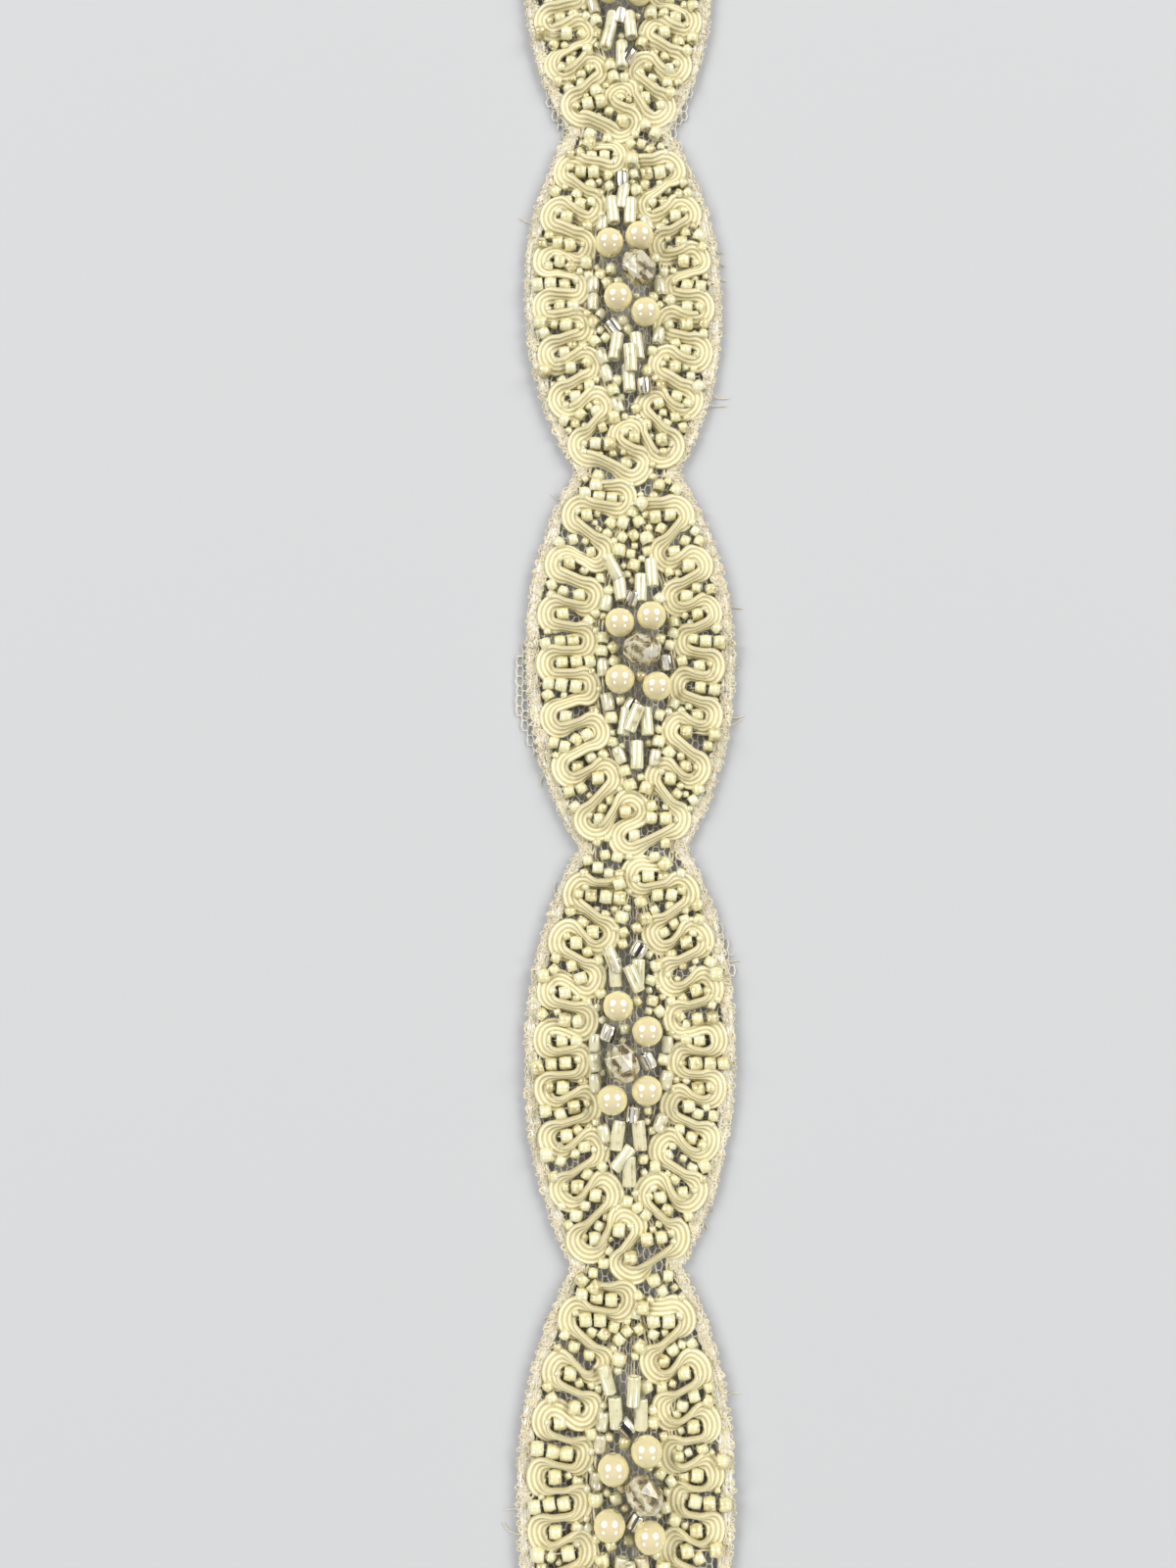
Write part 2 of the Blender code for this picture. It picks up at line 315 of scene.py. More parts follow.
def edgeLine(side, y):
    index, share = placeInChain(y)
    widest = medallions[index].left if side < 0 else medallions[index].right
    narrow = mix(necks[index].halfWidth, necks[index + 1].halfWidth, share)
    full = 1.0 - abs(2.0 * share - 1.0) ** outline["fullness"]
    return middleLine(y) + side * mix(narrow, widest, full)


def fieldLine(side, y):
    index, share = placeInChain(y)
    half = medallions[index].fieldHalf * math.sin(math.pi * share) ** outline["fieldFullness"]
    return middleLine(y) + medallions[index].fieldMiddle + side * max(half, outline["fieldLeast"])


def fieldHeading(side, y, step=0.001):
    # down along the edge of the open field
    return math.atan2(-1.0, (fieldLine(side, y - step) - fieldLine(side, y + step)) / (2 * step))


def netLine(side, y):
    out = outline["netMargin"]
    for spill in spills:
        away = abs(y - spill.y) / spill.halfLength
        if spill.side == side and away < 1.0:
            out += spill.reach * math.cos(0.5 * math.pi * away)
    return edgeLine(side, y) + side * out


def stations(step):
    # places along the trim, every neck among them
    places = []
    for above, below in zip(necks, necks[1:]):
        count = math.ceil((above.y - below.y) / step)
        places += [mix(above.y, below.y, number / count) for number in range(count)]
    return places + [necks[-1].y]


braidRoute = {
    "width": 0.0020,
    "inset": 0.00055,
    "bend": 0.0016,         # radius of every bend, at the braid's middle line
    "clearance": 0.0001,
    "uneven": 0.00022,
    "lean": 0.10,
    "firstBend": 0.0065,
    "lastBend": 0.0038,
    "curlSide": 0.0017,
    "curlDrop": 0.0040,
    "tailSide": 0.0019,
    "tailDrop": 0.0049,
    "tailRun": 0.0026,
    "closingSide": 0.0006,
    "closingRise": 0.0047,
    "seed": 7,
}
Bend = namedtuple("Bend", "x y radius turn")


def sideBends(side, index, source):
    route = braidRoute
    lobes = medallions[index].lobesLeft if side < 0 else medallions[index].lobesRight
    top = necks[index].y - route["firstBend"]
    bottom = necks[index + 1].y + route["lastBend"]
    centre = (necks[index].y + necks[index + 1].y) / 2
    reach = route["width"] / 2 + route["bend"]
    inset = route["inset"] + outline["edgingWidth"] + reach
    outer = []
    for number in range(lobes):
        y = mix(top, bottom, number / (lobes - 1))
        if 0 < number < lobes - 1:
            y += spread(source, route["uneven"])
        x = edgeLine(side, y) - side * (inset + source.random() * route["uneven"])
        outer.append(Bend(x, y, route["bend"], 1))
    bends = [outer[0]]
    for above, below in zip(outer, outer[1:]):
        y = (above.y + below.y) / 2
        y += route["lean"] * (centre - y)
        out = side * (fieldLine(side, y) + side * reach)
        for near in (above, below):
            level = (2 * route["bend"] + route["clearance"]) ** 2 - (y - near.y) ** 2
            if level > 0.0:
                out = min(out, side * near.x - math.sqrt(level))
        bends.append(Bend(side * out, y, route["bend"], -1))
        bends.append(below)
    return bends


def startOfSide(side, index):
    route, top = braidRoute, necks[index]
    if side != medallions[index].curl:
        return [Bend(top.middle + side * route["tailSide"], top.y - route["tailDrop"], 0.0, 1)]
    curl = Bend(top.middle + side * route["curlSide"], top.y - route["curlDrop"], route["bend"], -1)
    return [Bend(curl.x + side * route["tailRun"], curl.y + route["bend"], 0.0, 1), curl]


def braidBends(index, source):
    route, bottom = braidRoute, necks[index + 1]
    closing = medallions[index].closing
    turn = Bend(bottom.middle + bottom.turnX, bottom.y + bottom.turnY, route["bend"], 1)
    inner = Bend(bottom.middle + closing * route["closingSide"], bottom.y + route["closingRise"],
                 route["bend"], -1)
    last = {-1: [inner, turn], 0: [turn], 1: [turn, inner]}[closing]
    down = startOfSide(-1, index) + sideBends(-1, index, source)
    up = startOfSide(1, index) + sideBends(1, index, source)
    return [*down, *last, *up[::-1]]


def tangentHeading(first, second):
    distance = math.hypot(second.x - first.x, second.y - first.y)
    aside = first.turn * first.radius - second.turn * second.radius
    along = math.sqrt(distance ** 2 - aside ** 2)
    return math.atan2(second.y - first.y, second.x - first.x) + math.atan2(aside, along)


class LookGraph(Graph):
    # a material, whose Principled shader is fed by name
    def __init__(self, name, **constants):
        self.material = bpy.data.materials.new(name)
        self.material.use_nodes = True
        super().__init__(self.material.node_tree)
        self.shader = self.tree.nodes["Principled BSDF"].inputs
        for label, value in constants.items():
            self.shader[label.replace("_", " ")].default_value = value

    def feed(self, label, wire):
        self.tree.links.new(wire.socket, self.shader[label])

    def bump(self, height, distance):
        self.feed("Normal", self.node("ShaderNodeBump", values={"Height": height, "Distance": distance}))

    def grain(self, scale, detail=2.0):
        here = self.node("ShaderNodeTexCoord", output="Object")
        return self.node("ShaderNodeTexNoise", values={"Vector": here, "Scale": scale, "Detail": detail})

    def ramp(self, label, share, *stops):
        self.feed(label, self.node("ShaderNodeValToRGB", {"stops": stops}, {"Fac": share}))

    def facing(self, blend):
        return self.node("ShaderNodeLayerWeight", values={"Blend": blend}, output="Facing")

    def drawnStreaks(self, stripes, change, detail):
        # streaks along the hole, as in drawn glass rod, and different ones on every bead
        place = self.xyz(self.attribute("around") * stripes, self.attribute("tint") * change, 0.0)
        return self.node("ShaderNodeTexNoise", {"noise_dimensions": "2D"},
                         {"Vector": place, "Scale": 1.0, "Detail": detail})


def threadMaterial(name, look):
    # spun cotton, matt and a little fuzzy
    graph = LookGraph(name, Roughness=0.9, Sheen_Weight=0.4, Sheen_Roughness=0.6)
    fibres, patches = graph.grain(2600.0, 3.0), graph.grain(350.0)
    share = fibres * 0.7 + patches * 0.5 - 0.1
    graph.ramp("Base Color", share, (0.15, look["shade"]), (0.75, look["body"]))
    graph.bump(fibres, 0.00008)
    return graph.material


def glassMaterial(name, look):
    # satin glass that lets light in; painted shade darkens it towards the outline, painted blotches of
    # light and dark stand for light bent through it, and its lightest stop is a painted highlight
    graph = LookGraph(name, IOR=1.5, Coat_Weight=1.0, Coat_Roughness=0.03, Coat_IOR=1.9,
                      Transmission_Weight=look["through"], Subsurface_Weight=0.6,
                      Subsurface_Scale=0.0007, Subsurface_Radius=(1.0, 1.0, 1.0))
    streak = graph.drawnStreaks(look["stripes"], 40.0, 1.0)
    paintedCaustics = graph.grain(1100.0, 1.0)
    share = streak * look["stripeShare"] + graph.attribute("tint") * (0.9 - look["stripeShare"])
    # painted caustics of light and dark, and painted shade towards the outline
    share = share + (paintedCaustics - 0.5) * 1.1 - graph.facing(0.35) * look["rim"] + 0.1
    # the lightest stop is a painted highlight
    graph.ramp("Base Color", share, (0.0, look["shade"]), (0.42, look["body"]),
               (0.85, (1.0, 0.95, 0.64)))
    graph.feed("Roughness", look["roughness"] + streak * 0.1)
    return graph.material


# Braid: flat cords of rayon with fine slanting threads, painted shade in the grooves between the cords,
# and a thin painted highlight line on every crest
braidLook = {
    "shade": (0.35, 0.29, 0.13),
    "body": (0.74, 0.66, 0.37),
    # crest is the colour of the painted highlights
    "crest": (1.0, 0.97, 0.75),
    "threadPitch": 0.00034,
    "slant": 1.3,
    # painted light: crests lighter than the grooves' painted shade, and painted highlight lines on them,
    # brighter at the braid's edges
    "onCrests": 0.24,         # how much lighter each of these makes it
    "onLines": 0.34,
    "onEdges": 0.22,
    "onThreads": 0.08,
    "onPatches": 0.24,
    "onWear": 0.22,
    "darker": 0.05,
    "lineSharpness": 6.0,
    "relief": 0.00004,
}


def braidMaterial():
    look = braidLook
    graph = LookGraph("rayonBraid", Roughness=0.42, Sheen_Weight=0.2, Sheen_Roughness=0.4)
    crest = graph.attribute("crest")
    edge = abs(graph.attribute("across") - 0.5) * 2.0
    threads = (graph.attribute("along") / look["threadPitch"] + crest * look["slant"]) * (2 * math.pi)
    threads = graph.maths("SINE", threads) * 0.5 + 0.5
    patches, wear = graph.grain(900.0), graph.grain(160.0)
    # painted highlight lines on the crests, brighter at the edges, and crests painted lighter than the
    # grooves
    lines = crest ** look["lineSharpness"] * (look["onLines"] + edge * look["onEdges"])
    share = crest * look["onCrests"] + lines + threads * look["onThreads"]
    share = share + patches * look["onPatches"] + wear * look["onWear"] - look["darker"]
    graph.ramp("Base Color", share, (0.0, look["shade"]), (0.42, look["body"]), (0.95, look["crest"]))
    graph.feed("Roughness", 0.30 + patches * 0.2)
    graph.bump(threads * 0.6 + patches * 0.4, look["relief"])
    return graph.material


braidSection = {
    "Width": 0.0026,
    "Thickness": 0.00074,
    "Groove": 0.42,           # share of the thickness
    "Cords": 4,
    "Steps Over": 16,
    "Steps Under": 6,
}
braidShape = {
    "bendStep": math.radians(12),
    "runStep": 0.00040,
    "restsAt": 0.00095,       # where the braid's underside touches the net
    "bendRoll": math.radians(13),
    "runRoll": (math.radians(56), math.radians(72)),
    "turnedOver": 0.12,       # share of the straights that lean the other way
    "turnedRoll": -0.6,
    "runPlump": 0.84,         # the cords close up where the braid stands on edge
    "drawnIn": (0.26, 0.26, 0.0, 0.20, 0.06),    # share of its width, by medallion
    "swing": 0.00034,         # how far a bend bellies out
    "endTaper": 0.0020,
    "endPlump": 0.7,
    "endDrop": 0.0003,
    "uneven": 0.04,
    "unevenScale": 300,
    "seed": 31,
}


def braidRun(bends, source):
    # samples of the middle line, and the roll and swing in the middle of every straight and bend
    line = [(bends[0].x, bends[0].y)]
    marks = [(0.0, 0.0, 0.0)]
    length = 0.0

    def straight(x, y):
        nonlocal length
        startX, startY = line[-1]
        run = math.hypot(x - startX, y - startY)
        count = max(1, math.ceil(run / braidShape["runStep"]))
        line.extend((mix(startX, x, k / count), mix(startY, y, k / count)) for k in range(1, count + 1))
        roll = math.copysign(source.uniform(*braidShape["runRoll"]), x - startX)
        if source.random() < braidShape["turnedOver"]:
            roll *= braidShape["turnedRoll"]
        marks.append((length + run / 2, roll, 0.0))
        length += run

    headingIn = tangentHeading(bends[0], bends[1])
    for bend, following in zip(bends[1:-1], bends[2:]):
        headingOut = tangentHeading(bend, following)
        swept = (bend.turn * (headingOut - headingIn)) % (2 * math.pi)
        aside = bend.turn * bend.radius
        straight(bend.x + aside * math.sin(headingIn), bend.y - aside * math.cos(headingIn))
        steps = max(2, math.ceil(swept / braidShape["bendStep"]))
        for step in range(1, steps + 1):
            heading = headingIn + bend.turn * swept * step / steps
            line.append((bend.x + aside * math.sin(heading), bend.y - aside * math.cos(heading)))
        roll = spread(source, braidShape["bendRoll"])
        marks.append((length + swept * bend.radius / 2, roll, bend.turn))
        length += swept * bend.radius
        headingIn = headingOut
    straight(bends[-1].x, bends[-1].y)
    return line, marks + [(length, 0.0, 0.0)]


def markAt(marks, length):
    for (before, lowRoll, lowSwing), (after, highRoll, highSwing) in zip(marks, marks[1:]):
        if length <= after:
            share = smoothStep(mix(-0.3, 1.3, (length - before) / (after - before)))
            return mix(lowRoll, highRoll, share), mix(lowSwing, highSwing, share)
    return marks[-1][1:]


def braidTree(material):
    # the section has a row of cords on its upper side and is plain below
    graph = ShapeGraph("sweepBraid", braidSection)
    line = graph.curve(graph.given)
    line = graph.node("GeometryNodeSetCurveTilt", values={"Curve": line, "Tilt": graph.named("roll")})
    line = graph.node("GeometryNodeSetCurveRadius",
                      values={"Curve": line, "Radius": graph.named("plump")})
    over, under = graph["Steps Over"], graph["Steps Under"]
    section = graph.circle(over + under, 1.0)
    number = graph.node("GeometryNodeInputIndex")
    overShare = graph.maths("MINIMUM", number / over, 1.0)
    underShare = graph.maths("MAXIMUM", (number - over) / under, 0.0)
    across = 1.0 - overShare * 2.0 + underShare * 2.0
    upper = 1.0 - graph.maths("GREATER_THAN", number, over)
    full = graph.maths("MAXIMUM", 1.0 - abs(across) ** 3.0, 0.0) ** 0.3333
    crest = abs(graph.maths("SINE", overShare * graph["Cords"] * math.pi))
    height = full * (1.0 - graph["Groove"] * (1.0 - crest) * upper) * (upper * 2.0 - 1.0)
    section = graph.store(section, "crest", crest * upper)
    section = graph.store(section, "across", across * 0.5 + 0.5)
    section = graph.place(section, Position=graph.xyz(
        across * graph["Width"] * -0.5, height * graph["Thickness"] * -0.5, 0.0))
    return graph.finish(graph.sweep(line, section), material)


def laidBraid(line, marks, index):
    # lifts and rolls the samples of a middle line, and draws it in where the braid stands on edge
    shape, points, along, roll, plump = braidShape, [], [], [], []
    drawn, length, total = shape["drawnIn"][index], 0.0, marks[-1][0]
    for number, (x, y) in enumerate(line):
        before, after = line[max(number - 1, 0)], line[min(number + 1, len(line) - 1)]
        if number:
            length += math.hypot(x - before[0], y - before[1])
        turned, swing = markAt(marks, length)
        heading = math.atan2(after[1] - before[1], after[0] - before[0])
        out = swing * (shape["swing"] + drawn * braidSection["Width"] / 2)
        ending = smoothStep(min(length, total - length) / shape["endTaper"])
        fat = mix(shape["runPlump"], 1.0, abs(swing)) * mix(shape["endPlump"], 1.0, ending)
        fat *= 1.0 - drawn
        fat += shape["uneven"] * ripple(length * shape["unevenScale"], index, 0.0)
        half = fat * math.hypot(braidSection["Width"] / 2 * math.sin(turned),
                                braidSection["Thickness"] / 2 * math.cos(turned))
        points.append((x + out * math.sin(heading), y - out * math.cos(heading),
                       shape["restsAt"] + half - shape["endDrop"] * (1.0 - ending)))
        along.append(length)
        roll.append(turned)
        plump.append(fat)
    return points, {"along": along, "roll": roll, "plump": plump}


def buildBraids():
    graph = braidTree(braidMaterial())
    routeSource, source = random.Random(braidRoute["seed"]), random.Random(braidShape["seed"])
    routes = []
    for index in range(len(medallions)):
        bends = braidBends(index, routeSource)
        for _ in range(10):    # the frame's bugles take ten draws between two braids
            routeSource.random()
        points, values = laidBraid(*braidRun(bends, source), index)
        name = f"braid{index + 1}"
        settle(grow(graph, name, lineMesh(name, [points], **values), braidSection),
               "rayon_braid", f"braid_{index + 1}")
        routes.append((bends, points))
    return routes


# Net: tulle with hexagonal holes, a little uneven, lying in the cut outline
netMesh = {
    "Column Pitch": 0.00077,
    "Cell Height": 0.00138,
    "Bar": 0.00055,
    "Thread Radius": 0.00012,
    "Uneven": 0.00010,
    "Columns": 42,
    "Rows": 194,
}
netShape = {
    "level": 0.00068,         # height of the net's middle over the table
    "lifted": 0.00012,        # more in the open fields
    "lifting": 0.002,
    "freeLevel": 0.00030,     # where the cut edge droops
    "droop": 0.0016,          # over this distance, from a little inside the edging
    "droopInset": 0.0006,
    "wave": 0.00012,
    "waveScale": 420,
    "rowStep": 0.0012,
    "columns": 26,
}
netLook = {"shade": (0.64, 0.59, 0.45), "body": (0.92, 0.89, 0.77)}


def netHeight(x, y):
    side = -1 if x < middleLine(y) else 1
    past = side * (x - edgeLine(side, y))
    droop = smoothStep((past + netShape["droopInset"]) / netShape["droop"])
    scale = netShape["waveScale"]
    wave = netShape["wave"] * ripple(x * scale, y * scale, 0.0)
    inField = smoothStep(side * (fieldLine(side, y) - x) / netShape["lifting"])
    inside = netShape["level"] + netShape["lifted"] * inField + wave
    outside = netShape["freeLevel"] + 1.2 * abs(wave)
    return mix(inside, outside, droop)


def groundMesh():
    # the cut outline of the net, as the surface on which its threads lie
    columns = netShape["columns"]
    shape = bmesh.new()
    grid = []
    for y in stations(netShape["rowStep"]):
        left, right = netLine(-1, y), netLine(1, y)
        row = [mix(left, right, number / columns) for number in range(columns + 1)]
        grid.append([shape.verts.new((x, y, netHeight(x, y))) for x in row])
    for above, below in zip(grid, grid[1:]):
        for k in range(columns):
            shape.faces.new((above[k], below[k], below[k + 1], above[k + 1]))
    area = sum(face.calc_area() for face in shape.faces)
    return meshFrom(shape, "netGround"), area


def netTree(material):
    # one bar and two slanting threads for each cell, in staggered columns, dropped on the outline
    graph = ShapeGraph("hexagonNet", netMesh)
    pitch, height, bar = graph["Column Pitch"], graph["Cell Height"], graph["Bar"]
    start, end = graph.xyz(bar * -0.5, 0.0, 0.0), graph.xyz(bar * 0.5, 0.0, 0.0)
    rise, fall = (graph.xyz(pitch - bar * 0.5, height * half, 0.0) for half in (0.5, -0.5))
    cell = graph.node("GeometryNodeJoinGeometry")
    for first, second in ((start, end), (end, rise), (end, fall)):
        line = graph.node("GeometryNodeMeshLine", {"mode": "END_POINTS"},
                          {"Count": 2, "Start Location": first, "Offset": second})
        graph.tree.links.new(line.socket, cell.socket.node.inputs[0])
    columns, rows = graph["Columns"], graph["Rows"]
    grid = graph.node("GeometryNodeMeshGrid", values={
        "Size X": (columns - 1.0) * pitch, "Size Y": (rows - 1.0) * height,
        "Vertices X": columns, "Vertices Y": rows})
    column = graph.maths("FLOOR", (graph.node("GeometryNodeInputIndex") + 0.5) / rows)
    grid = graph.place(grid, Offset=graph.xyz(0.0, (column % 2.0) * height * 0.5, 0.0))
    net = graph.node("GeometryNodeRealizeInstances", values={"Geometry": graph.onPoints(grid, cell)})
    net = graph.node("GeometryNodeMergeByDistance", values={"Geometry": net, "Distance": 0.00006})
    rough = graph.node("ShaderNodeTexNoise", values={"Scale": 900.0, "Detail": 1.0}, output="Color")
    pushed = graph.node("ShaderNodeVectorMath", {"operation": "SUBTRACT"},
                        {0: rough, 1: (0.5, 0.5, 0.5)})
    pushed = graph.node("ShaderNodeVectorMath", {"operation": "SCALE"},
                        {0: pushed, "Scale": graph["Uneven"] * 4.0})
    net = graph.place(net, Offset=pushed)
    spot = graph.spot()
    hit = graph.node("GeometryNodeRaycast", values={
        "Target Geometry": graph.given, "Source Position": graph.xyz(spot, spot.other("Y"), 0.01),
        "Ray Direction": (0.0, 0.0, -1.0), "Ray Length": 0.1}, output="Is Hit")
    level = graph.node("ShaderNodeSeparateXYZ", values={0: hit.other("Hit Position")}, output="Z")
    missed = graph.node("FunctionNodeBooleanMath", {"operation": "NOT"}, {0: hit})
    net = graph.place(net, Position=graph.xyz(spot, spot.other("Y"), level))
    net = graph.node("GeometryNodeDeleteGeometry", {"domain": "POINT"},
                     {"Geometry": net, "Selection": missed})
    net = graph.sweep(graph.curve(net), graph.circle(3, graph["Thread Radius"]))
    return graph.finish(net, material)


def threadTree(name, material):
    graph = ShapeGraph(name, {"Radius": 0.0001, "Sides": 4})
    section = graph.circle(graph["Sides"], graph["Radius"])
    return graph.finish(graph.sweep(graph.curve(graph.given), section), material)


# Chain stitches along the edging and under the lobes, and their thread
chain = {"Pitch": 0.00070, "Loop Length": 0.00130, "Loop Width": 0.00074, "Thread Radius": 0.00012,
         "Loop Points": 10, "Sides": 4, "Uneven": 0.34, "Seed": 3}
innerChain = {"Pitch": 0.00125, "Loop Length": 0.0019, "Loop Width": 0.00072, "Thread Radius": 0.00013,
              "Loop Points": 10, "Sides": 4, "Uneven": 0.10, "Seed": 8}
stitchLook = {"shade": (0.53, 0.46, 0.29), "body": (0.88, 0.81, 0.58)}


def chainTree(material):
    # a tapered loop for each stitch, whose narrow end lies under the next one
    graph = ShapeGraph("chainStitch", chain)
    line = graph.node("GeometryNodeCurveToPoints", {"mode": "LENGTH"},
                      {"Curve": graph.curve(graph.given), "Length": graph["Pitch"]})
    loop = graph.circle(graph["Loop Points"], 1.0)
    spot = graph.spot()
    across = spot.other("Y") * (0.33 - spot * 0.17) * graph["Loop Width"]
    loop = graph.place(loop, Position=graph.xyz(across, spot * -0.45 * graph["Thread Radius"],
                                                spot * 0.5 * graph["Loop Length"]))
    loop = graph.sweep(loop, graph.circle(graph["Sides"], graph["Thread Radius"]))
    uneven, seed = graph["Uneven"], graph["Seed"]
    sway = graph.node("FunctionNodeRandomValue", {"data_type": "FLOAT_VECTOR"}, {
        0: graph.xyz(uneven * -1.0, uneven * -3.0, uneven * -1.0),
        1: graph.xyz(uneven, uneven * 3.0, uneven), "Seed": seed})
    turned = graph.node("FunctionNodeRotateRotation", {"rotation_space": "LOCAL"},
                        {0: line.other("Rotation"), 1: sway})
    size = graph.node("FunctionNodeRandomValue", {"data_type": "FLOAT"},
                      {2: 1.0 - uneven, 3: 1.0 + uneven, "Seed": seed}, 1)
    return graph.finish(graph.onPoints(line, loop, Rotation=turned, Scale=size), material)


def beadTree(material):
    # a short glass tube with rounded walls; every point carries its turn, size and tint
    graph = ShapeGraph("glassTube", seedShape)
    outer, hole = graph["Diameter"], graph["Hole"]
    ring = graph.circle(graph["Sides"], (outer + hole) * 0.25)
    ring = graph.store(ring, "around", graph.node("GeometryNodeSplineParameter", output="Factor"))
    wall = graph.circle(graph["Wall Points"], 1.0)
    spot = graph.spot()
    halves = []
    for here, reach in ((spot, (outer - hole) * 0.25), (spot.other("Y"), graph["Length"] * 0.5)):
        sign = graph.maths("SIGN", here)
        halves.append(sign * abs(here) ** graph["Squareness"] * reach)
    bead = graph.sweep(graph.upright(ring), graph.place(wall, Position=graph.xyz(*halves, 0.0)))
    turn = graph.node("FunctionNodeEulerToRotation", values={0: graph.named("turn", "FLOAT_VECTOR")})
    made = graph.onPoints(graph.given, bead, Rotation=turn, Scale=graph.named("size"))
    return graph.finish(made, material)


Bead = namedtuple("Bead", "x y z heading tip size tint")
Blocker = namedtuple("Blocker", "x y heading half radius")


def buildBeads(name, material, shape, beads, slotName, *nodes):
    # a point for each bead; its hole lies along its heading, tipped up by its tip
    mesh = lineMesh(name, [[(bead.x, bead.y, bead.z)] for bead in beads],
                    size=[bead.size for bead in beads], tint=[bead.tint for bead in beads])
    turns = []
    for bead in beads:
        turns += [math.pi / 2 - bead.tip, 0.0, bead.heading + math.pi / 2]
    mesh.attributes.new("turn", "FLOAT_VECTOR", "POINT").data.foreach_set("vector", turns)
    settle(grow(beadTree(material), name, mesh, shape), slotName, *nodes)


def nodesOf(kind, count):
    return [f"{kind}_{k}_{n}" for k in range(1, len(medallions) + 1) for n in range(1, count + 1)]


def nodeMiddle(node):
    low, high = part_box(node)
    return (low + high) / 2


def roundBlockers(nodes, radius):
    return [Blocker(*nodeMiddle(node).xy, 0.0, 0.0, radius) for node in nodes]


def tubeBlockers(beads, half, radius):
    return [Blocker(bead.x, bead.y, bead.heading, half, radius) for bead in beads]


def clearOfBlockers(x, y, blockers, size=1.0):
    # a blocker is a line with a radius, around which a seed keeps clear
    for item in blockers:
        cos, sin = math.cos(item.heading), math.sin(item.heading)
        along = min(max((x - item.x) * cos + (y - item.y) * sin, -item.half), item.half)
        away = math.hypot(x - (item.x + along * cos), y - (item.y + along * sin))
        if away < item.radius + seedPlaces["offBlocker"] * size:
            return False
    return True


def clearOf(x, y, others):
    return all(math.hypot(x - other.x, y - other.y) > seedPlaces["apart"] for other in others)


# Seed beads, and the clear oval ones between them along the open fields
seedShape = {"Diameter": 0.00196, "Hole": 0.00080, "Length": 0.00172, "Squareness": 0.82,
             "Sides": 10, "Wall Points": 6}
ovalShape = {"Diameter": 0.00175, "Hole": 0.00070, "Length": 0.00250, "Squareness": 0.85,
             "Sides": 12, "Wall Points": 10}
# rim is how much painted shade darkens each bead towards its outline
seedLook = {"shade": (0.40, 0.32, 0.12), "body": (0.94, 0.85, 0.47), "roughness": 0.05,
            "stripes": 4.0, "through": 0.15, "stripeShare": 0.5, "rim": 0.35}
ovalLook = {"shade": (0.32, 0.26, 0.13), "body": (0.88, 0.82, 0.58), "roughness": 0.04,
            "stripes": 7.0, "through": 0.25, "stripeShare": 0.8, "rim": 0.4}
seedPlaces = {
    "step": 0.00188,
    "squeeze": 0.3,           # share of a step by which a row may be too long for its lobe
    "mostInRow": 3,
    "sizes": (0.92, 1.05),
    "level": 0.00178,         # height of a seed bead's middle between the lobes
    "wander": 0.00012,
    "turn": math.radians(9),
    "hollow": 0.00042,        # from the middle of a bend to its first bead
    "openHollow": 0.00125,    # where the hollow is left open
    "openShare": 0.45,
    "missing": 0.06,
    "fieldReach": 0.0006,     # how far a row runs into the open field, or ends short of the edge
    "edgeReach": 0.0016,
    "stringReach": 0.75,      # the thread goes down into the net this share of a step past its row
    "stringLevel": 0.0008,
    "endLift": 0.0003,        # of the beads on the braid's two ends
    "apart": 0.00160,
    "offBraid": 0.00118,      # from the braid's middle line, for strung beads
    "offBlocker": 0.00075,
    "gained": 0.00115,        # room beside a braid that is drawn in
    "seed": 11,
}
fieldPlaces = {
    "ends": 0.0085,           # from the necks
    "startSway": 0.0005,
    "level": 0.00172,
    "inset": 0.0010,          # into the open field
    "sizes": (0.9, 1.05),
    "gap": (0.0, 0.0003),
    "missing": 0.12,          # where the field is at least this half wide
    "missingHalf": 0.0025,
    "ovalShare": 0.55,
    "ovalHalf": 0.003,
}
loosePlaces = {
    "rounds": ((2600, 0.74, 0.98), (2200, 0.50, 0.68)),    # tries, smallest and largest size
    "ends": 0.0005,
    "edgeInset": 0.0017,
    "middleShare": 0.30,      # in this part of a medallion fewer are wanted
    "middleBare": 0.25,
    "neckReach": 0.0030,
    "neckBare": 0.85,
    "apart": 0.00086,
    "lookRound": 0.003,
    "fromAbove": 30,          # beads of the medallion above that are kept clear of too
    "offBraid": 0.00128,
    "spare": 0.0001,
    "lower": 0.0001,
    "smallLower": 0.0005,
}


def rowOfSeeds(bend, side, reachTo, source):
    # beads strung from the hollow of a bend towards the open side of the lobe
    places = seedPlaces
    wander, turn = places["wander"], places["turn"]
    inward = -side if bend.turn > 0 else side
    isOpen = bend.turn < 0 and source.random() < places["openShare"]
    first = places["openHollow"] if isOpen else places["hollow"]
    room = abs(reachTo - bend.x) - first
    fitting = int((room + places["step"] * places["squeeze"]) / places["step"]) + 1
    heading = math.atan2(spread(source, math.sin(turn)), inward)
    row = []
    for number in range(min(places["mostInRow"], fitting)):
        out = first + number * places["step"]
        row.append(Bead(
            bend.x + math.cos(heading) * out + spread(source, wander / 2),
            bend.y + math.sin(heading) * out + spread(source, wander),
            places["level"] + spread(source, wander), heading + spread(source, turn),
            spread(source, turn), source.uniform(*places["sizes"]), source.random()))
    if len(row) > 1 and source.random() < places["missing"]:
        row.pop()
    return row


def stringOf(row):
    # the thread on which a row of beads hangs, from net to net
    first, last = row[0], row[-1]
    reach, level = seedPlaces["step"] * seedPlaces["stringReach"], seedPlaces["stringLevel"]
    sideX, sideY = math.cos(first.heading) * reach, math.sin(first.heading) * reach
    return [(first.x - sideX, first.y - sideY, level), *[(bead.x, bead.y, bead.z) for bead in row],
            (last.x + sideX, last.y + sideY, level)]


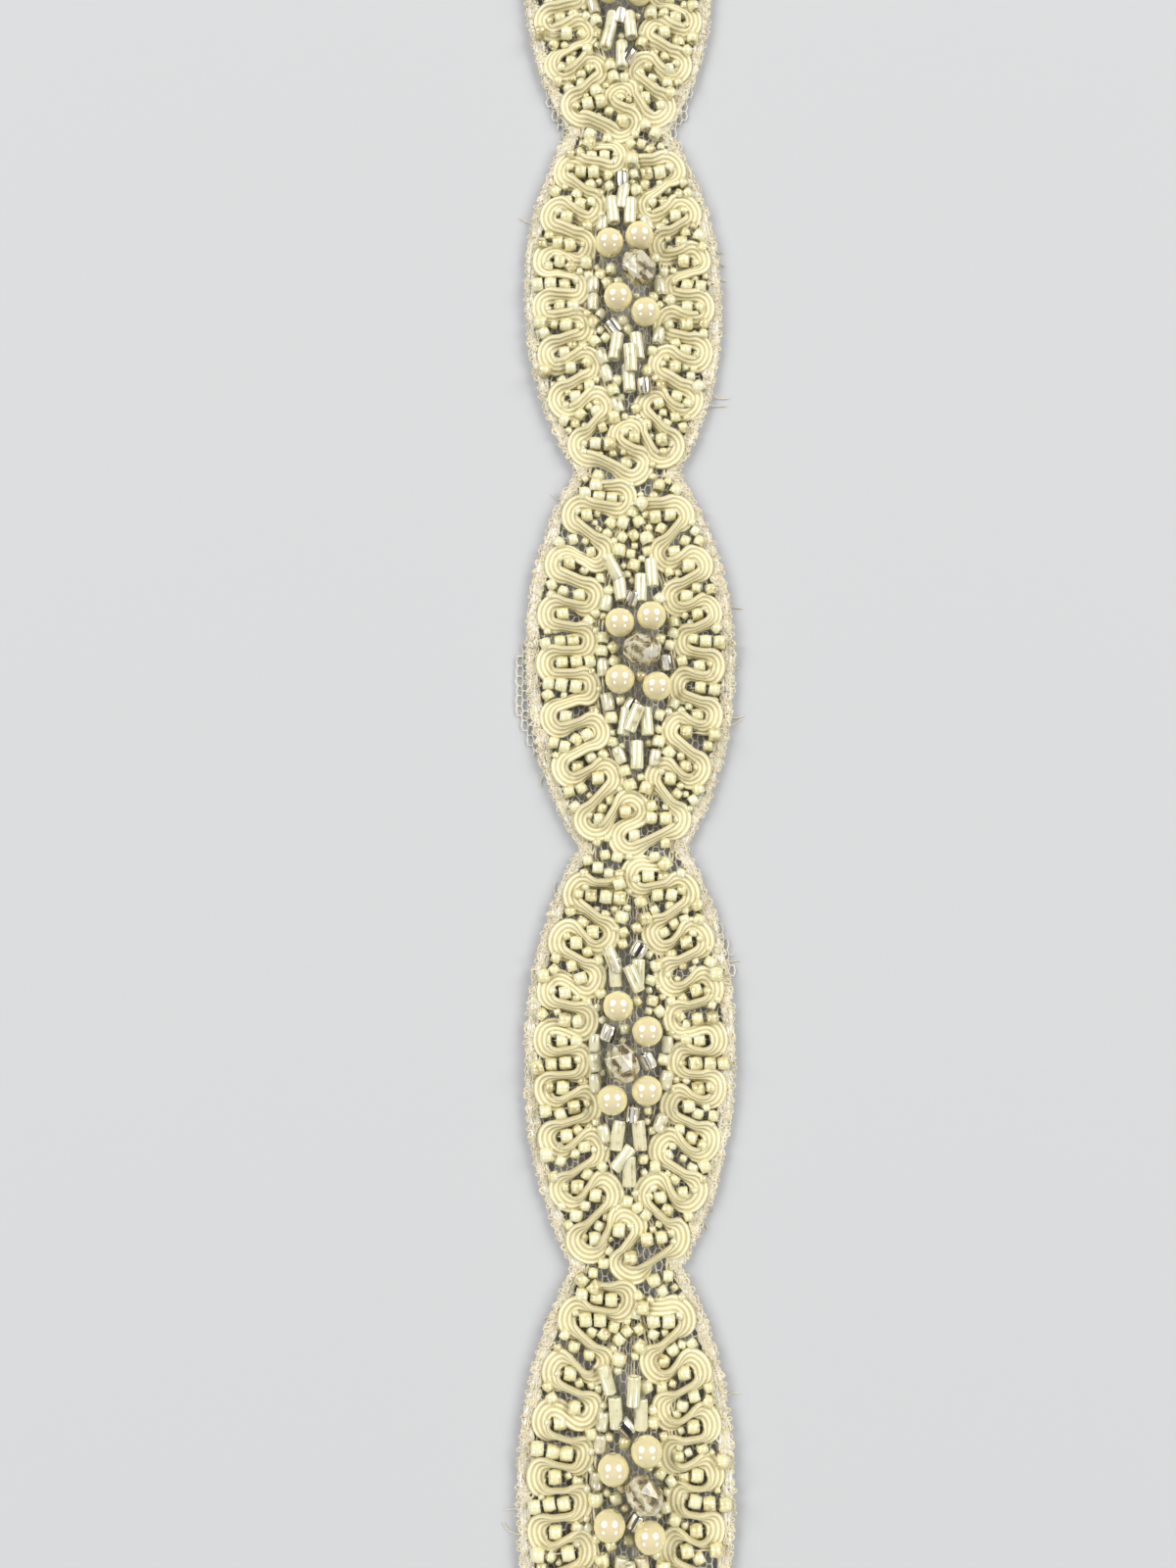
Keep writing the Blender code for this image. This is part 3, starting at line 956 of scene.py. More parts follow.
def fieldSeeds(index, blockers, source):
    # strings of oval and seed beads along the sides of the open field; the ovals come back apart
    places = fieldPlaces
    seeds, ovals = [], []
    for side in (-1, 1):
        y = necks[index].y - places["ends"] - source.random() * places["startSway"]
        while y > necks[index + 1].y + places["ends"]:
            half = abs(fieldLine(side, y) - fieldLine(-side, y)) / 2
            isOval = half > places["ovalHalf"] and source.random() < places["ovalShare"]
            length = ovalShape["Length"] if isOval else seedShape["Length"]
            y -= length / 2
            x = fieldLine(side, y) - side * min(places["inset"], half * 0.5)
            heading = fieldHeading(side, y) + spread(source, seedPlaces["turn"])
            wide = min(half / places["missingHalf"], 1.0)
            wanted = source.random() > places["missing"] * wide
            if wanted and clearOf(x, y, seeds + ovals) and clearOfBlockers(x, y, blockers):
                bead = Bead(x + spread(source, seedPlaces["wander"]), y, places["level"], heading,
                            0.0, source.uniform(*places["sizes"]), source.random())
                (ovals if isOval else seeds).append(bead)
            y -= length / 2 + source.uniform(*places["gap"])
    return seeds, ovals


def looseSeeds(index, seeds, blockers, braidPlaces, closer, source):
    # single beads that fill what room is left round the necks and between the lobes, then small ones
    places = loosePlaces
    top, bottom = necks[index].y - places["ends"], necks[index + 1].y + places["ends"]
    made = []
    for tries, smallest, largest in places["rounds"]:
        for _ in range(tries):
            y = source.uniform(bottom, top)
            inset = places["edgeInset"]
            x = source.uniform(edgeLine(-1, y) + inset, edgeLine(1, y) - inset)
            size = source.uniform(smallest, largest)
            inMiddle = abs(y - (top + bottom) / 2) < places["middleShare"] * (top - bottom)
            if inMiddle and source.random() < places["middleBare"]:
                continue
            if min(top - y, y - bottom) < places["neckReach"] and source.random() < places["neckBare"]:
                continue
            if any(math.hypot(x - bead.x, y - bead.y) < places["apart"] * (size + bead.size)
                   for bead in seeds + made if abs(y - bead.y) < places["lookRound"]):
                continue
            offBraid = (places["offBraid"] - closer) * size + places["spare"]
            if braidPlaces.find((x, y, 0.0))[2] >= offBraid and clearOfBlockers(x, y, blockers, size):
                level = fieldPlaces["level"] - places["lower"] - places["smallLower"] * (1.0 - size)
                made.append(Bead(x, y, level, source.uniform(0, math.pi), 0.0, size, source.random()))
    return made


def braidPlacesOf(routes):
    points = [(x, y, 0.0) for bends, line in routes for x, y, z in line]
    places = kdtree.KDTree(len(points))
    for number, point in enumerate(points):
        places.insert(point, number)
    places.balance()
    return places


def buildSeeds(routes, blockers):
    source = random.Random(seedPlaces["seed"])
    braidPlaces = braidPlacesOf(routes)
    allSeeds, ovals, strings = [], [], []
    for index, (bends, line) in enumerate(routes):
        seeds = []
        closer = braidShape["drawnIn"][index] * seedPlaces["gained"]

        def fits(bead, others):
            away = braidPlaces.find((bead.x, bead.y, 0.0))[2]
            return away > seedPlaces["offBraid"] - closer and clearOf(bead.x, bead.y, others)

        for bend in bends:
            if bend.radius == 0.0:
                continue
            side = -1 if bend.x < middleLine(bend.y) else 1
            if bend.turn > 0:
                reachTo = fieldLine(side, bend.y) + side * seedPlaces["fieldReach"]
            else:
                reachTo = edgeLine(side, bend.y) - side * seedPlaces["edgeReach"]
            row = [bead for bead in rowOfSeeds(bend, side, reachTo, source)
                   if fits(bead, seeds + allSeeds) and clearOfBlockers(bead.x, bead.y, blockers)]
            if row:
                strings.append(stringOf(row))
            seeds += row
        for kind, made in zip((seeds, ovals), fieldSeeds(index, blockers, source)):
            kind += [bead for bead in made if fits(bead, seeds)]
        around = seeds + ovals + allSeeds[-loosePlaces["fromAbove"]:]
        seeds += looseSeeds(index, around, blockers, braidPlaces, closer, source)
        for x, y, z in (line[0], line[-1]):
            seeds.append(Bead(x, y, seedPlaces["level"] + seedPlaces["endLift"],
                              source.uniform(0, math.pi), 0.0, 1.0, source.random()))
        allSeeds += seeds
    print(f"{len(allSeeds)} seed beads")
    buildBeads("seedBeads", glassMaterial("seedGlass", seedLook), seedShape, allSeeds, "satin_glass")
    buildBeads("ovalBeads", glassMaterial("ovalGlass", ovalLook), ovalShape, ovals, "satin_glass")
    return strings


# Bugles: one for every bugle of the frame, and more that lie between and over them
bugleShape = {"Diameter": 0.0018, "Hole": 0.0008, "Length": 0.0039, "Squareness": 0.22,
              "Sides": 14, "Wall Points": 12}
# rim is how much painted shade darkens each bugle towards its outline
bugleLook = {"shade": (0.36, 0.29, 0.14), "body": (0.92, 0.85, 0.56), "roughness": 0.07,
             "stripes": 18.0, "through": 0.25, "stripeShare": 0.9, "rim": 0.2}
buglePlaces = {
    "level": 0.0021,          # of a lifted one's middle, before it is lifted
    "sizes": (0.94, 1.0),
    "tipByLift": 120.0,
    "half": 0.0017,           # what the seeds keep clear of
    "radius": 0.0008,
    "swing": (7, -2, -12, 8, 2),    # which way each medallion's bugles of the frame lean
    "seed": 5,
}
Extra = namedtuple("Extra", "medallion x y turn lift")
extraBugles = (
    Extra(1, 0.0002, 0.0138, 6, 0.0),
    Extra(1, -0.0021, -0.0110, -14, 0.0004),
    Extra(2, -0.0006, 0.0148, -9, 0.0),
    Extra(2, 0.0004, -0.0096, 4, 0.0012),
    Extra(3, 0.0021, 0.0114, 4, 0.0002),
    Extra(3, -0.0032, 0.0121, 28, 0.0003),
    Extra(3, -0.0004, -0.0089, -22, 0.0010),
    Extra(4, -0.0025, 0.0122, 22, 0.0002),
    Extra(4, 0.0003, 0.0098, 24, 0.0010),
    Extra(4, -0.0012, -0.0134, -38, 0.0002),
    Extra(5, -0.0034, 0.0138, 16, 0.0),
    Extra(5, 0.0000, 0.0126, -3, 0.0008),
    Extra(5, -0.0004, -0.0098, 12, 0.0011),
)


def fieldCentre(medallion):
    y = (necks[medallion - 1].y + necks[medallion].y) / 2
    return middleLine(y) + medallions[medallion - 1].fieldMiddle, y


def buildBugles():
    places = buglePlaces
    source = random.Random(places["seed"])
    bugles = []
    nodes = nodesOf("bugle", len(places["swing"]))
    for number, node in enumerate(nodes):
        low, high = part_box(node)
        turn = math.atan2(max(high.x - low.x - bugleShape["Diameter"], 0.0), high.y - low.y)
        turn = math.copysign(turn, places["swing"][number % len(places["swing"])])
        bugles.append(Bead(*nodeMiddle(node), math.pi / 2 + turn, 0.0, 1.0, source.random()))
    for extra in extraBugles:
        x, y = fieldCentre(extra.medallion)
        bugles.append(Bead(x + extra.x, y + extra.y, places["level"] + extra.lift,
                           math.pi / 2 + math.radians(extra.turn), extra.lift * places["tipByLift"],
                           source.uniform(*places["sizes"]), source.random()))
    material = glassMaterial("satinGlass", bugleLook)
    buildBeads("bugles", material, bugleShape, bugles, "satin_glass", *nodes)
    return tubeBlockers(bugles, places["half"], places["radius"])


# Silver-lined beads, by medallion and place from the middle of its field
silverShape = {"Diameter": 0.0021, "Hole": 0.0009, "Length": 0.0022, "Squareness": 0.5,
               "Sides": 14, "Wall Points": 12}
silverPlaces = {"level": 0.0021, "tip": 0.15, "half": 0.0004, "radius": 0.0010, "seed": 17}
Glint = namedtuple("Glint", "medallion x y turn")
glints = (
    Glint(1, 0.0, 0.0112, 90),
    Glint(1, -0.0004, -0.0078, 80),
    Glint(1, 0.0008, -0.0140, 60),
    Glint(2, -0.0007, 0.0173, 90),
    Glint(2, -0.0019, -0.0046, 130),
    Glint(2, 0.0023, -0.0132, 95),
    Glint(3, -0.0006, 0.0078, 70),
    Glint(3, 0.0041, -0.0011, 100),
    Glint(3, -0.0007, -0.0071, 60),
    Glint(4, 0.0010, 0.0136, 60),
    Glint(4, -0.0030, 0.0027, 70),
    Glint(4, 0.0021, -0.0009, 115),
    Glint(4, 0.0000, -0.0077, 85),
    Glint(5, -0.0010, 0.0080, 130),
    Glint(5, 0.0002, -0.0033, 60),
)


def silverMaterial():
    # clear glass over a mirror lining: bright and dark streaks along the hole, painted reflections of
    # the lining
    graph = LookGraph("silverLined", Coat_Weight=1.0, Coat_Roughness=0.02)
    streak = graph.drawnStreaks(14.0, 30.0, 2.0)
    # the dark and bright streaks are painted reflections
    graph.ramp("Base Color", streak, (0.36, (0.06, 0.05, 0.05)), (0.47, (0.62, 0.55, 0.36)),
               (0.56, (0.95, 0.93, 0.86)))
    graph.ramp("Metallic", streak, (0.3, (0.9, 0.9, 0.9)), (0.6, (0.55, 0.55, 0.55)))
    graph.feed("Roughness", 0.1 + streak * 0.15)
    return graph.material


def buildSilver():
    places = silverPlaces
    source = random.Random(places["seed"])
    beads = []
    for item in glints:
        x, y = fieldCentre(item.medallion)
        beads.append(Bead(x + item.x, y + item.y, places["level"], math.radians(item.turn),
                          places["tip"], 1.0, source.random()))
    buildBeads("silverBeads", silverMaterial(), silverShape, beads, "clear_glass")
    return tubeBlockers(beads, places["half"], places["radius"])


# Pearls: turned from the rim of the drilled hole round to the other rim, with the hole lying level
pearlShape = {"radius": 0.0020, "hole": 0.00035, "rings": 22, "sides": 36, "seed": 23}
# rim is painted shade at the outline, face a painted pink reflection, and skin the pearl's own light
# yellow
pearlLook = {"rim": (0.50, 0.41, 0.12), "skin": (0.92, 0.82, 0.40), "face": (0.73, 0.63, 0.36)}


def pearlMaterial():
    # light yellow towards the rim, with painted shade at the very outline, and a little darker and pink
    # where it faces up, a painted reflection
    look = pearlLook
    graph = LookGraph("pearlCoat", Roughness=0.25, Coat_Weight=1.0, Coat_Roughness=0.11, Coat_IOR=2.2)
    share = 1.0 - graph.facing(0.4) + (graph.grain(420.0) - 0.5) * 0.2
    graph.ramp("Base Color", share, (0.0, look["rim"]), (0.24, look["skin"]), (0.42, look["skin"]),
               (0.85, look["face"]))
    return graph.material


def buildPearls():
    shape = bmesh.new()
    source = random.Random(pearlShape["seed"])
    radius, count, sides = pearlShape["radius"], pearlShape["rings"], pearlShape["sides"]
    rim = math.asin(pearlShape["hole"] / radius)
    angles = [mix(rim, math.pi - rim, ring / count) for ring in range(count + 1)]
    circle = [2 * math.pi * k / sides for k in range(sides)]
    nodes = nodesOf("pearl", 4)
    for node in nodes:
        turn = Matrix.Translation(nodeMiddle(node)) @ Matrix.Rotation(source.uniform(0, math.pi), 4, "Z")
        rings = []
        for angle in angles:
            along, out = radius * math.cos(angle), radius * math.sin(angle)
            rings.append([shape.verts.new(turn @ Vector((along, out * math.cos(a), out * math.sin(a))))
                          for a in circle])
        for near, far in zip(rings, rings[1:] + rings[:1]):
            for k in range(sides):
                following = (k + 1) % sides
                shape.faces.new((near[k], near[following], far[following], far[k]))
    bmesh.ops.recalc_face_normals(shape, faces=shape.faces)
    mesh = meshFrom(shape, "pearls")
    mesh.shade_smooth()
    mesh.materials.append(pearlMaterial())
    settle(addObject("pearls", mesh), "pearl", *nodes)
    return roundBlockers(nodes, radius)


# Faceted beads: rings of points, every second ring half a step round, under one convex skin
facetShape = {
    "radius": 0.0025,
    "halfLength": 0.0025,
    "sides": (7, 6, 10, 8, 6),    # by medallion
    "rings": ((-1.0, 0.40, 0.0), (-0.50, 0.88, 0.5), (0.45, 0.92, 0.0), (1.0, 0.40, 0.5)),
    "turns": (70, 35, 80, 15, 45),
    "uneven": 0.20,
    "edge": 0.00007,          # the narrow flats along the facets' edges
    "leastFacet": 0.4e-6,     # smaller faces are such flats
    "facetTint": 0.85,        # the most a facet is painted lit, and how bright the flats' painted glints are
    "edgeTint": (0.8, 1.0),
    "flattened": math.radians(9),
    "clear": 0.0023,          # radius that the seeds keep clear of
    "seed": 61,
}
glassLook = {
    "tint": 0.42,             # how much the facet's painted light, the painted streaks and the painted splinters each count
    "streaks": 0.55,
    "splinters": 0.90,
    "lighter": 0.31,
    "stops": ((0.0, (0.17, 0.13, 0.07)), (0.30, (0.47, 0.39, 0.21)),
              (0.58, (0.77, 0.68, 0.40)), (0.90, (1.0, 0.98, 0.80))),
}


def clearGlassMaterial():
    # every facet is painted its own share of light, the flats on its edges painted bright as glints,
    # broken up by painted streaks and splinters of what shows through it
    look = glassLook
    graph = LookGraph("clearGlass", Roughness=0.02, IOR=1.55, Transmission_Weight=0.45,
                      Coat_Weight=1.0, Coat_Roughness=0.01)
    here = graph.node("ShaderNodeTexCoord", output="Object")
    streaks = graph.node("ShaderNodeTexWave", {"bands_direction": "DIAGONAL"}, {
        "Vector": here, "Scale": 260.0, "Distortion": 5.0, "Detail": 2.0, "Detail Scale": 1.2}, "Fac")
    splinters = graph.node("ShaderNodeTexVoronoi", {"feature": "F1"},
                           {"Vector": here, "Scale": 1350.0}, "Color")
    splinter = graph.node("ShaderNodeSeparateColor", values={"Color": splinters}, output="Red")
    # tint here is each facet's painted light, and the streaks and splinters are painted refraction
    share = graph.attribute("tint") * look["tint"] + (streaks - 0.5) * look["streaks"]
    share = share + (splinter - 0.5) * look["splinters"] + look["lighter"]
    graph.ramp("Base Color", share, *look["stops"])
    return graph.material


def facetedBead(index, turn, source):
    bead = bmesh.new()
    sides, uneven = facetShape["sides"][index], facetShape["uneven"]
    points = []
    for along, out, shift in facetShape["rings"]:
        for k in range(sides):
            angle = 2 * math.pi * (k + shift + spread(source, uneven)) / sides
            reach = out * facetShape["radius"] * source.uniform(1.0 - uneven / 3, 1.0)
            points.append(bead.verts.new(turn @ Vector((
                reach * math.cos(angle), along * facetShape["halfLength"], reach * math.sin(angle)))))
    bmesh.ops.convex_hull(bead, input=points)
    bmesh.ops.dissolve_limit(bead, angle_limit=facetShape["flattened"],
                             verts=bead.verts, edges=bead.edges)
    bmesh.ops.bevel(bead, geom=bead.edges, offset=facetShape["edge"], segments=1, affect="EDGES",
                    clamp_overlap=True)
    bmesh.ops.recalc_face_normals(bead, faces=bead.faces)
    return bead


def buildGlass():
    beads = bmesh.new()
    tint = beads.faces.layers.float.new("tint")
    source = random.Random(facetShape["seed"])
    nodes = [f"glass_bead_{number}" for number in range(1, len(medallions) + 1)]
    for index, node in enumerate(nodes):
        turn = Matrix.Rotation(math.radians(facetShape["turns"][index]), 4, "Z")
        turn = turn @ Matrix.Rotation(source.uniform(0, 1), 4, "Y")
        bead = facetedBead(index, turn, source)
        made = {vert: beads.verts.new(vert.co + nodeMiddle(node)) for vert in bead.verts}
        for face in bead.faces:
            copy = beads.faces.new([made[vert] for vert in face.verts])
            # each facet's tint is its painted light; the narrow flats get painted glints
            if face.calc_area() > facetShape["leastFacet"]:
                copy[tint] = source.random() * facetShape["facetTint"]
            else:
                copy[tint] = source.uniform(*facetShape["edgeTint"])
        bead.free()
    mesh = meshFrom(beads, "glassBeads")
    mesh.materials.append(clearGlassMaterial())
    settle(addObject("glassBeads", mesh), "clear_glass", *nodes)
    return roundBlockers(nodes, facetShape["clear"])


stitching = {
    "edgingInsets": (0.00026, 0.00070, 0.00116),
    "edgingLevel": 0.00098,
    "edgingSway": 0.00022,
    "edgingStep": 0.0006,
    "coreDrop": 0.00016,
    "coreRadius": 0.00025,
    "innerLevel": 0.00100,
    "innerOut": 0.00055,      # from the edge of the open field
    "innerSway": 0.00015,
    "innerSteps": 90,
    "innerNeck": 0.0016,      # inside the neck's edge
    "leaving": 0.16,          # share of a medallion over which the line comes in from the neck
    "couchDash": 0.0023,
    "couchGap": 0.0007,
    "couchLevel": 0.00034,
    "couchRadius": 0.00016,
    "seamLower": 0.0001,      # the stitches under the edgings and the inner lines
    "seamStart": 0.001,
}


def edgingLine(side, inset):
    line = []
    for y in stations(stitching["edgingStep"]):
        sway = stitching["edgingSway"] * ripple(y * 700, side * 5.0, inset * 9000)
        x = edgeLine(side, y) - side * inset + sway
        line.append((x, y, stitching["edgingLevel"] + abs(sway)))
    return line


def innerLine(side, index):
    # from the neck's edge in under the lobes, along the open field, and out to the next neck
    top, bottom = necks[index], necks[index + 1]
    line = []
    for number in range(stitching["innerSteps"] + 1):
        share = number / stitching["innerSteps"]
        y = mix(top.y, bottom.y, share)
        inner = fieldLine(side, y) + side * stitching["innerOut"]
        outer = middleLine(y) + side * (top.halfWidth - stitching["innerNeck"])
        leave = smoothStep(1.0 - min(share, 1.0 - share) / stitching["leaving"])
        sway = stitching["innerSway"] * ripple(y * 500, side * 3.0 + index, 1.0)
        line.append((mix(inner, outer, leave) + sway, y, stitching["innerLevel"]))
    return line


def dashes(line, level, length=0.0):
    # a running stitch under a line: its thread shows for a dash, then dips into the net
    made, dash = [], []
    cycle = stitching["couchDash"] + stitching["couchGap"]
    for before, after in zip(line, line[1:]):
        if length % cycle < stitching["couchDash"]:
            dash.append((after[0], after[1], level))
        else:
            if len(dash) > 2:
                made.append(dash[:-1:3] + [dash[-1]])
            dash = []
        length += math.hypot(after[0] - before[0], after[1] - before[1])
    return made


def buildNet(routes, edgings, inners):
    material = threadMaterial("netThread", netLook)
    ground, area = groundMesh()
    net = grow(netTree(material), "net", ground, netMesh)
    lines = []
    for bends, line in routes:
        lines += dashes(line, stitching["couchLevel"])
    for line in edgings + inners:
        lines += dashes(line, stitching["couchLevel"] - stitching["seamLower"], stitching["seamStart"])
    graph = threadTree("couching", material)
    net = joined(net, growThreads(graph, "couching", lines, stitching["couchRadius"]))
    settle(net, "net", "net_ground")
    places = stations(0.001)
    width = max(netLine(1, y) for y in places) - min(netLine(-1, y) for y in places)
    necks[0].y - necks[-1].y


def buildStitches(edgings, inners):
    material = threadMaterial("chainThread", stitchLook)
    graph, cores = chainTree(material), threadTree("edgingCore", material)
    rows = len(stitching["edgingInsets"])
    for name, node, lines in (("edgingLeft", "edging_left", edgings[:rows]),
                              ("edgingRight", "edging_right", edgings[rows:])):
        loops = grow(graph, name, lineMesh(name, lines), chain)
        core = [[(x, y, z - stitching["coreDrop"]) for x, y, z in line] for line in lines]
        yarn = growThreads(cores, name + "Core", core, stitching["coreRadius"], 6)
        settle(joined(loops, yarn), "edging_thread", node)
    loops = grow(graph, "innerStitches", lineMesh("innerStitches", inners), innerChain)
    settle(loops, "edging_thread")
    return material


looseEnds = {
    "pieces": 30,
    "radius": 0.00007,
    "ends": 0.002,            # none this near the trim's cut ends
    "inset": 0.0004,
    "turn": 0.9,
    "curl": 700,              # radians per metre, either way
    "step": (0.00018, 0.00042),
    "steps": 9,
    "levels": (0.0011, 0.0002),    # at the edging, and where it lies on the table
    "seed": 53,
}


def curledLine(x, y, heading, step, turn, levels):
    # a thread of even steps that keeps turning
    line = []
    for z in levels:
        line.append((x, y, z))
        x += step * math.cos(heading)
        y += step * math.sin(heading)
        heading += turn
    return line


def outward(side):
    return 0.0 if side > 0 else math.pi


def buildLooseThreads(material):
    # cut ends of thread that stick out of the edging, and lie on the table
    look = looseEnds
    source = random.Random(look["seed"])
    high, low = look["levels"]
    levels = [mix(high, low, smoothStep(k / 5)) for k in range(look["steps"])]
    lines = []
    for _ in range(look["pieces"]):
        side = source.choice((-1, 1))
        y = source.uniform(necks[-1].y + look["ends"], necks[0].y - look["ends"])
        x = edgeLine(side, y) - side * look["inset"]
        heading = outward(side) + source.uniform(-look["turn"], look["turn"])
        curl = source.uniform(-look["curl"], look["curl"])
        step = source.uniform(*look["step"])
        lines.append(curledLine(x, y, heading, step, curl * step, levels))
    graph = threadTree("looseThread", material)
    settle(growThreads(graph, "looseThreads", lines, look["radius"]), "edging_thread")


fuzz = {
    "hairs": 1700,
    "hairRadius": 0.000035,
    "hairLength": (0.0004, 0.0011),
    "hairInset": (-0.0001, 0.0013),
    "hairLevel": (0.0009, 0.0014),
    "hairLowest": 0.0003,
    "hairClimb": (-0.4, 0.6),
    "hairCurl": 1.2,          # radians at each point
    "hairTurn": 1.1,          # from straight outwards, for half of them
    "hairPoints": 4,
    "picotGap": (0.0006, 0.0015),
    "picotReach": (0.00022, 0.00066),
    "picotHalf": (0.00015, 0.00028),
    "picotFoot": 0.0002,
    "picotInset": 0.00005,
    "picotRise": (-0.0001, 0.0002),
    "picotRadius": 0.00009,
    "ends": 0.001,
    "seed": 54,
}


def fuzzHair(source):
    side = source.choice((-1, 1))
    y = source.uniform(necks[-1].y, necks[0].y)
    x = edgeLine(side, y) - side * source.uniform(*fuzz["hairInset"])
    levels = [source.uniform(*fuzz["hairLevel"])]
    if source.random() < 0.5:
        heading = source.uniform(0, 2 * math.pi)
    else:
        heading = outward(side) + source.uniform(-fuzz["hairTurn"], fuzz["hairTurn"])
    step = source.uniform(*fuzz["hairLength"]) / 3
    curl = source.uniform(-fuzz["hairCurl"], fuzz["hairCurl"])
    climb = source.uniform(*fuzz["hairClimb"])
    while len(levels) < fuzz["hairPoints"]:
        levels.append(max(levels[-1] + step * climb, fuzz["hairLowest"]))
    return curledLine(x, y, heading, step, curl, levels)


def picotRow(side, source):
    row = []
    y = necks[0].y - fuzz["ends"]
    while y > necks[-1].y + fuzz["ends"]:
        out, half = source.uniform(*fuzz["picotReach"]), source.uniform(*fuzz["picotHalf"])
        turn = source.uniform(-0.5, 0.5) * half
        edge = edgeLine(side, y) - side * fuzz["picotInset"]
        z = stitching["edgingLevel"] + source.uniform(*fuzz["picotRise"])
        foot, shoulder = edge - side * fuzz["picotFoot"], edge + side * out * 0.7
        row.append([(foot, y + half, z), (shoulder, y + half + turn, z),
                    (edge + side * out, y + turn, z),
                    (shoulder, y - half + turn, z), (foot, y - half, z)])
        y -= source.uniform(*fuzz["picotGap"])
    return row


def buildFuzz(material):
    # hairs that stand off the edging, and small loops along its outer side
    source = random.Random(fuzz["seed"])
    hairs = [fuzzHair(source) for _ in range(fuzz["hairs"])]
    loops = picotRow(-1, source) + picotRow(1, source)
    graph = threadTree("fuzzThread", material)
    made = growThreads(graph, "edgingFuzz", hairs, fuzz["hairRadius"], 3)
    settle(joined(made, growThreads(graph, "picots", loops, fuzz["picotRadius"])), "edging_thread")


fieldThread = {
    "strands": 3,
    "gap": 0.00048,
    "radius": 0.00018,
    "level": 0.00108,
    "sway": 0.00022,
    "over": 0.0001,           # each strand lies this much over the last
    "ends": 0.0035,
    "points": 80,
    "stringRadius": 0.00009,
    "fineStrands": 7,
    "fineRadius": 0.00006,
    "fineEnds": 0.006,
    "finePoints": 24,
    "fineDrift": 0.2,
    "seed": 71,
}


def fieldPlacesOf(index, ends, count):
    top, bottom = necks[index].y - ends, necks[index + 1].y + ends
    return [mix(top, bottom, k / (count - 1)) for k in range(count)]


def laidThread(index, side, strand):
    look, line = fieldThread, []
    for y in fieldPlacesOf(index, look["ends"], look["points"]):
        sway = look["sway"] * ripple(y * 260, index * 7.0 + strand, side)
        x = fieldLine(side, y) - side * (strand - 0.4) * look["gap"] + sway
        line.append((x, y, look["level"] + 0.6 * abs(sway) + look["over"] * strand))
    return line


def fineThread(index, source):
    look, line = fieldThread, []
    share, drift = source.uniform(0.1, 0.9), source.uniform(-look["fineDrift"], look["fineDrift"])
    for k, y in enumerate(fieldPlacesOf(index, look["fineEnds"], look["finePoints"])):
        across = min(max(share + drift * math.sin(k / 5 + index), 0.05), 0.95)
        line.append((mix(fieldLine(-1, y), fieldLine(1, y), across), y, look["level"]))
    return line


def buildFieldThreads(material, strings):
    # laid threads along both sides of the open field, and the threads through the rows of beads
    look, source = fieldThread, random.Random(fieldThread["seed"])
    fields = range(len(medallions))
    lines = [laidThread(index, side, strand)
             for index in fields for side in (-1, 1) for strand in range(look["strands"])]
    fine = [fineThread(index, source) for index in fields for _ in range(look["fineStrands"])]
    graph = threadTree("layThread", material)
    warps = growThreads(graph, "fieldWarps", fine, look["fineRadius"], 3)
    laid = growThreads(graph, "fieldThreads", lines, look["radius"], 5)
    strung = growThreads(graph, "beadThreads", strings, look["stringRadius"])
    settle(joined(laid, strung, warps), "edging_thread")


stage = {
    "floorColour": (0.52, 0.53, 0.545),
    "floorReach": 3.4,
    "roomColour": (0.95, 0.96, 1.0),
    "roomLight": 0.40,
    "lightColour": (1.0, 0.98, 0.94),
    "key": {"power": 39.0, "size": 1.7, "place": (1.58, 0.86, 1.58)},
    "fill": {"power": 9.0, "size": 0.6, "place": (1.58, -1.24, 1.30)},
    "cameraTarget": (-0.0049, -0.0128, 0.0),
    "cameraDistance": 0.207,
    "cameraTilt": math.radians(7.6),
    "lens": 35.0,
}


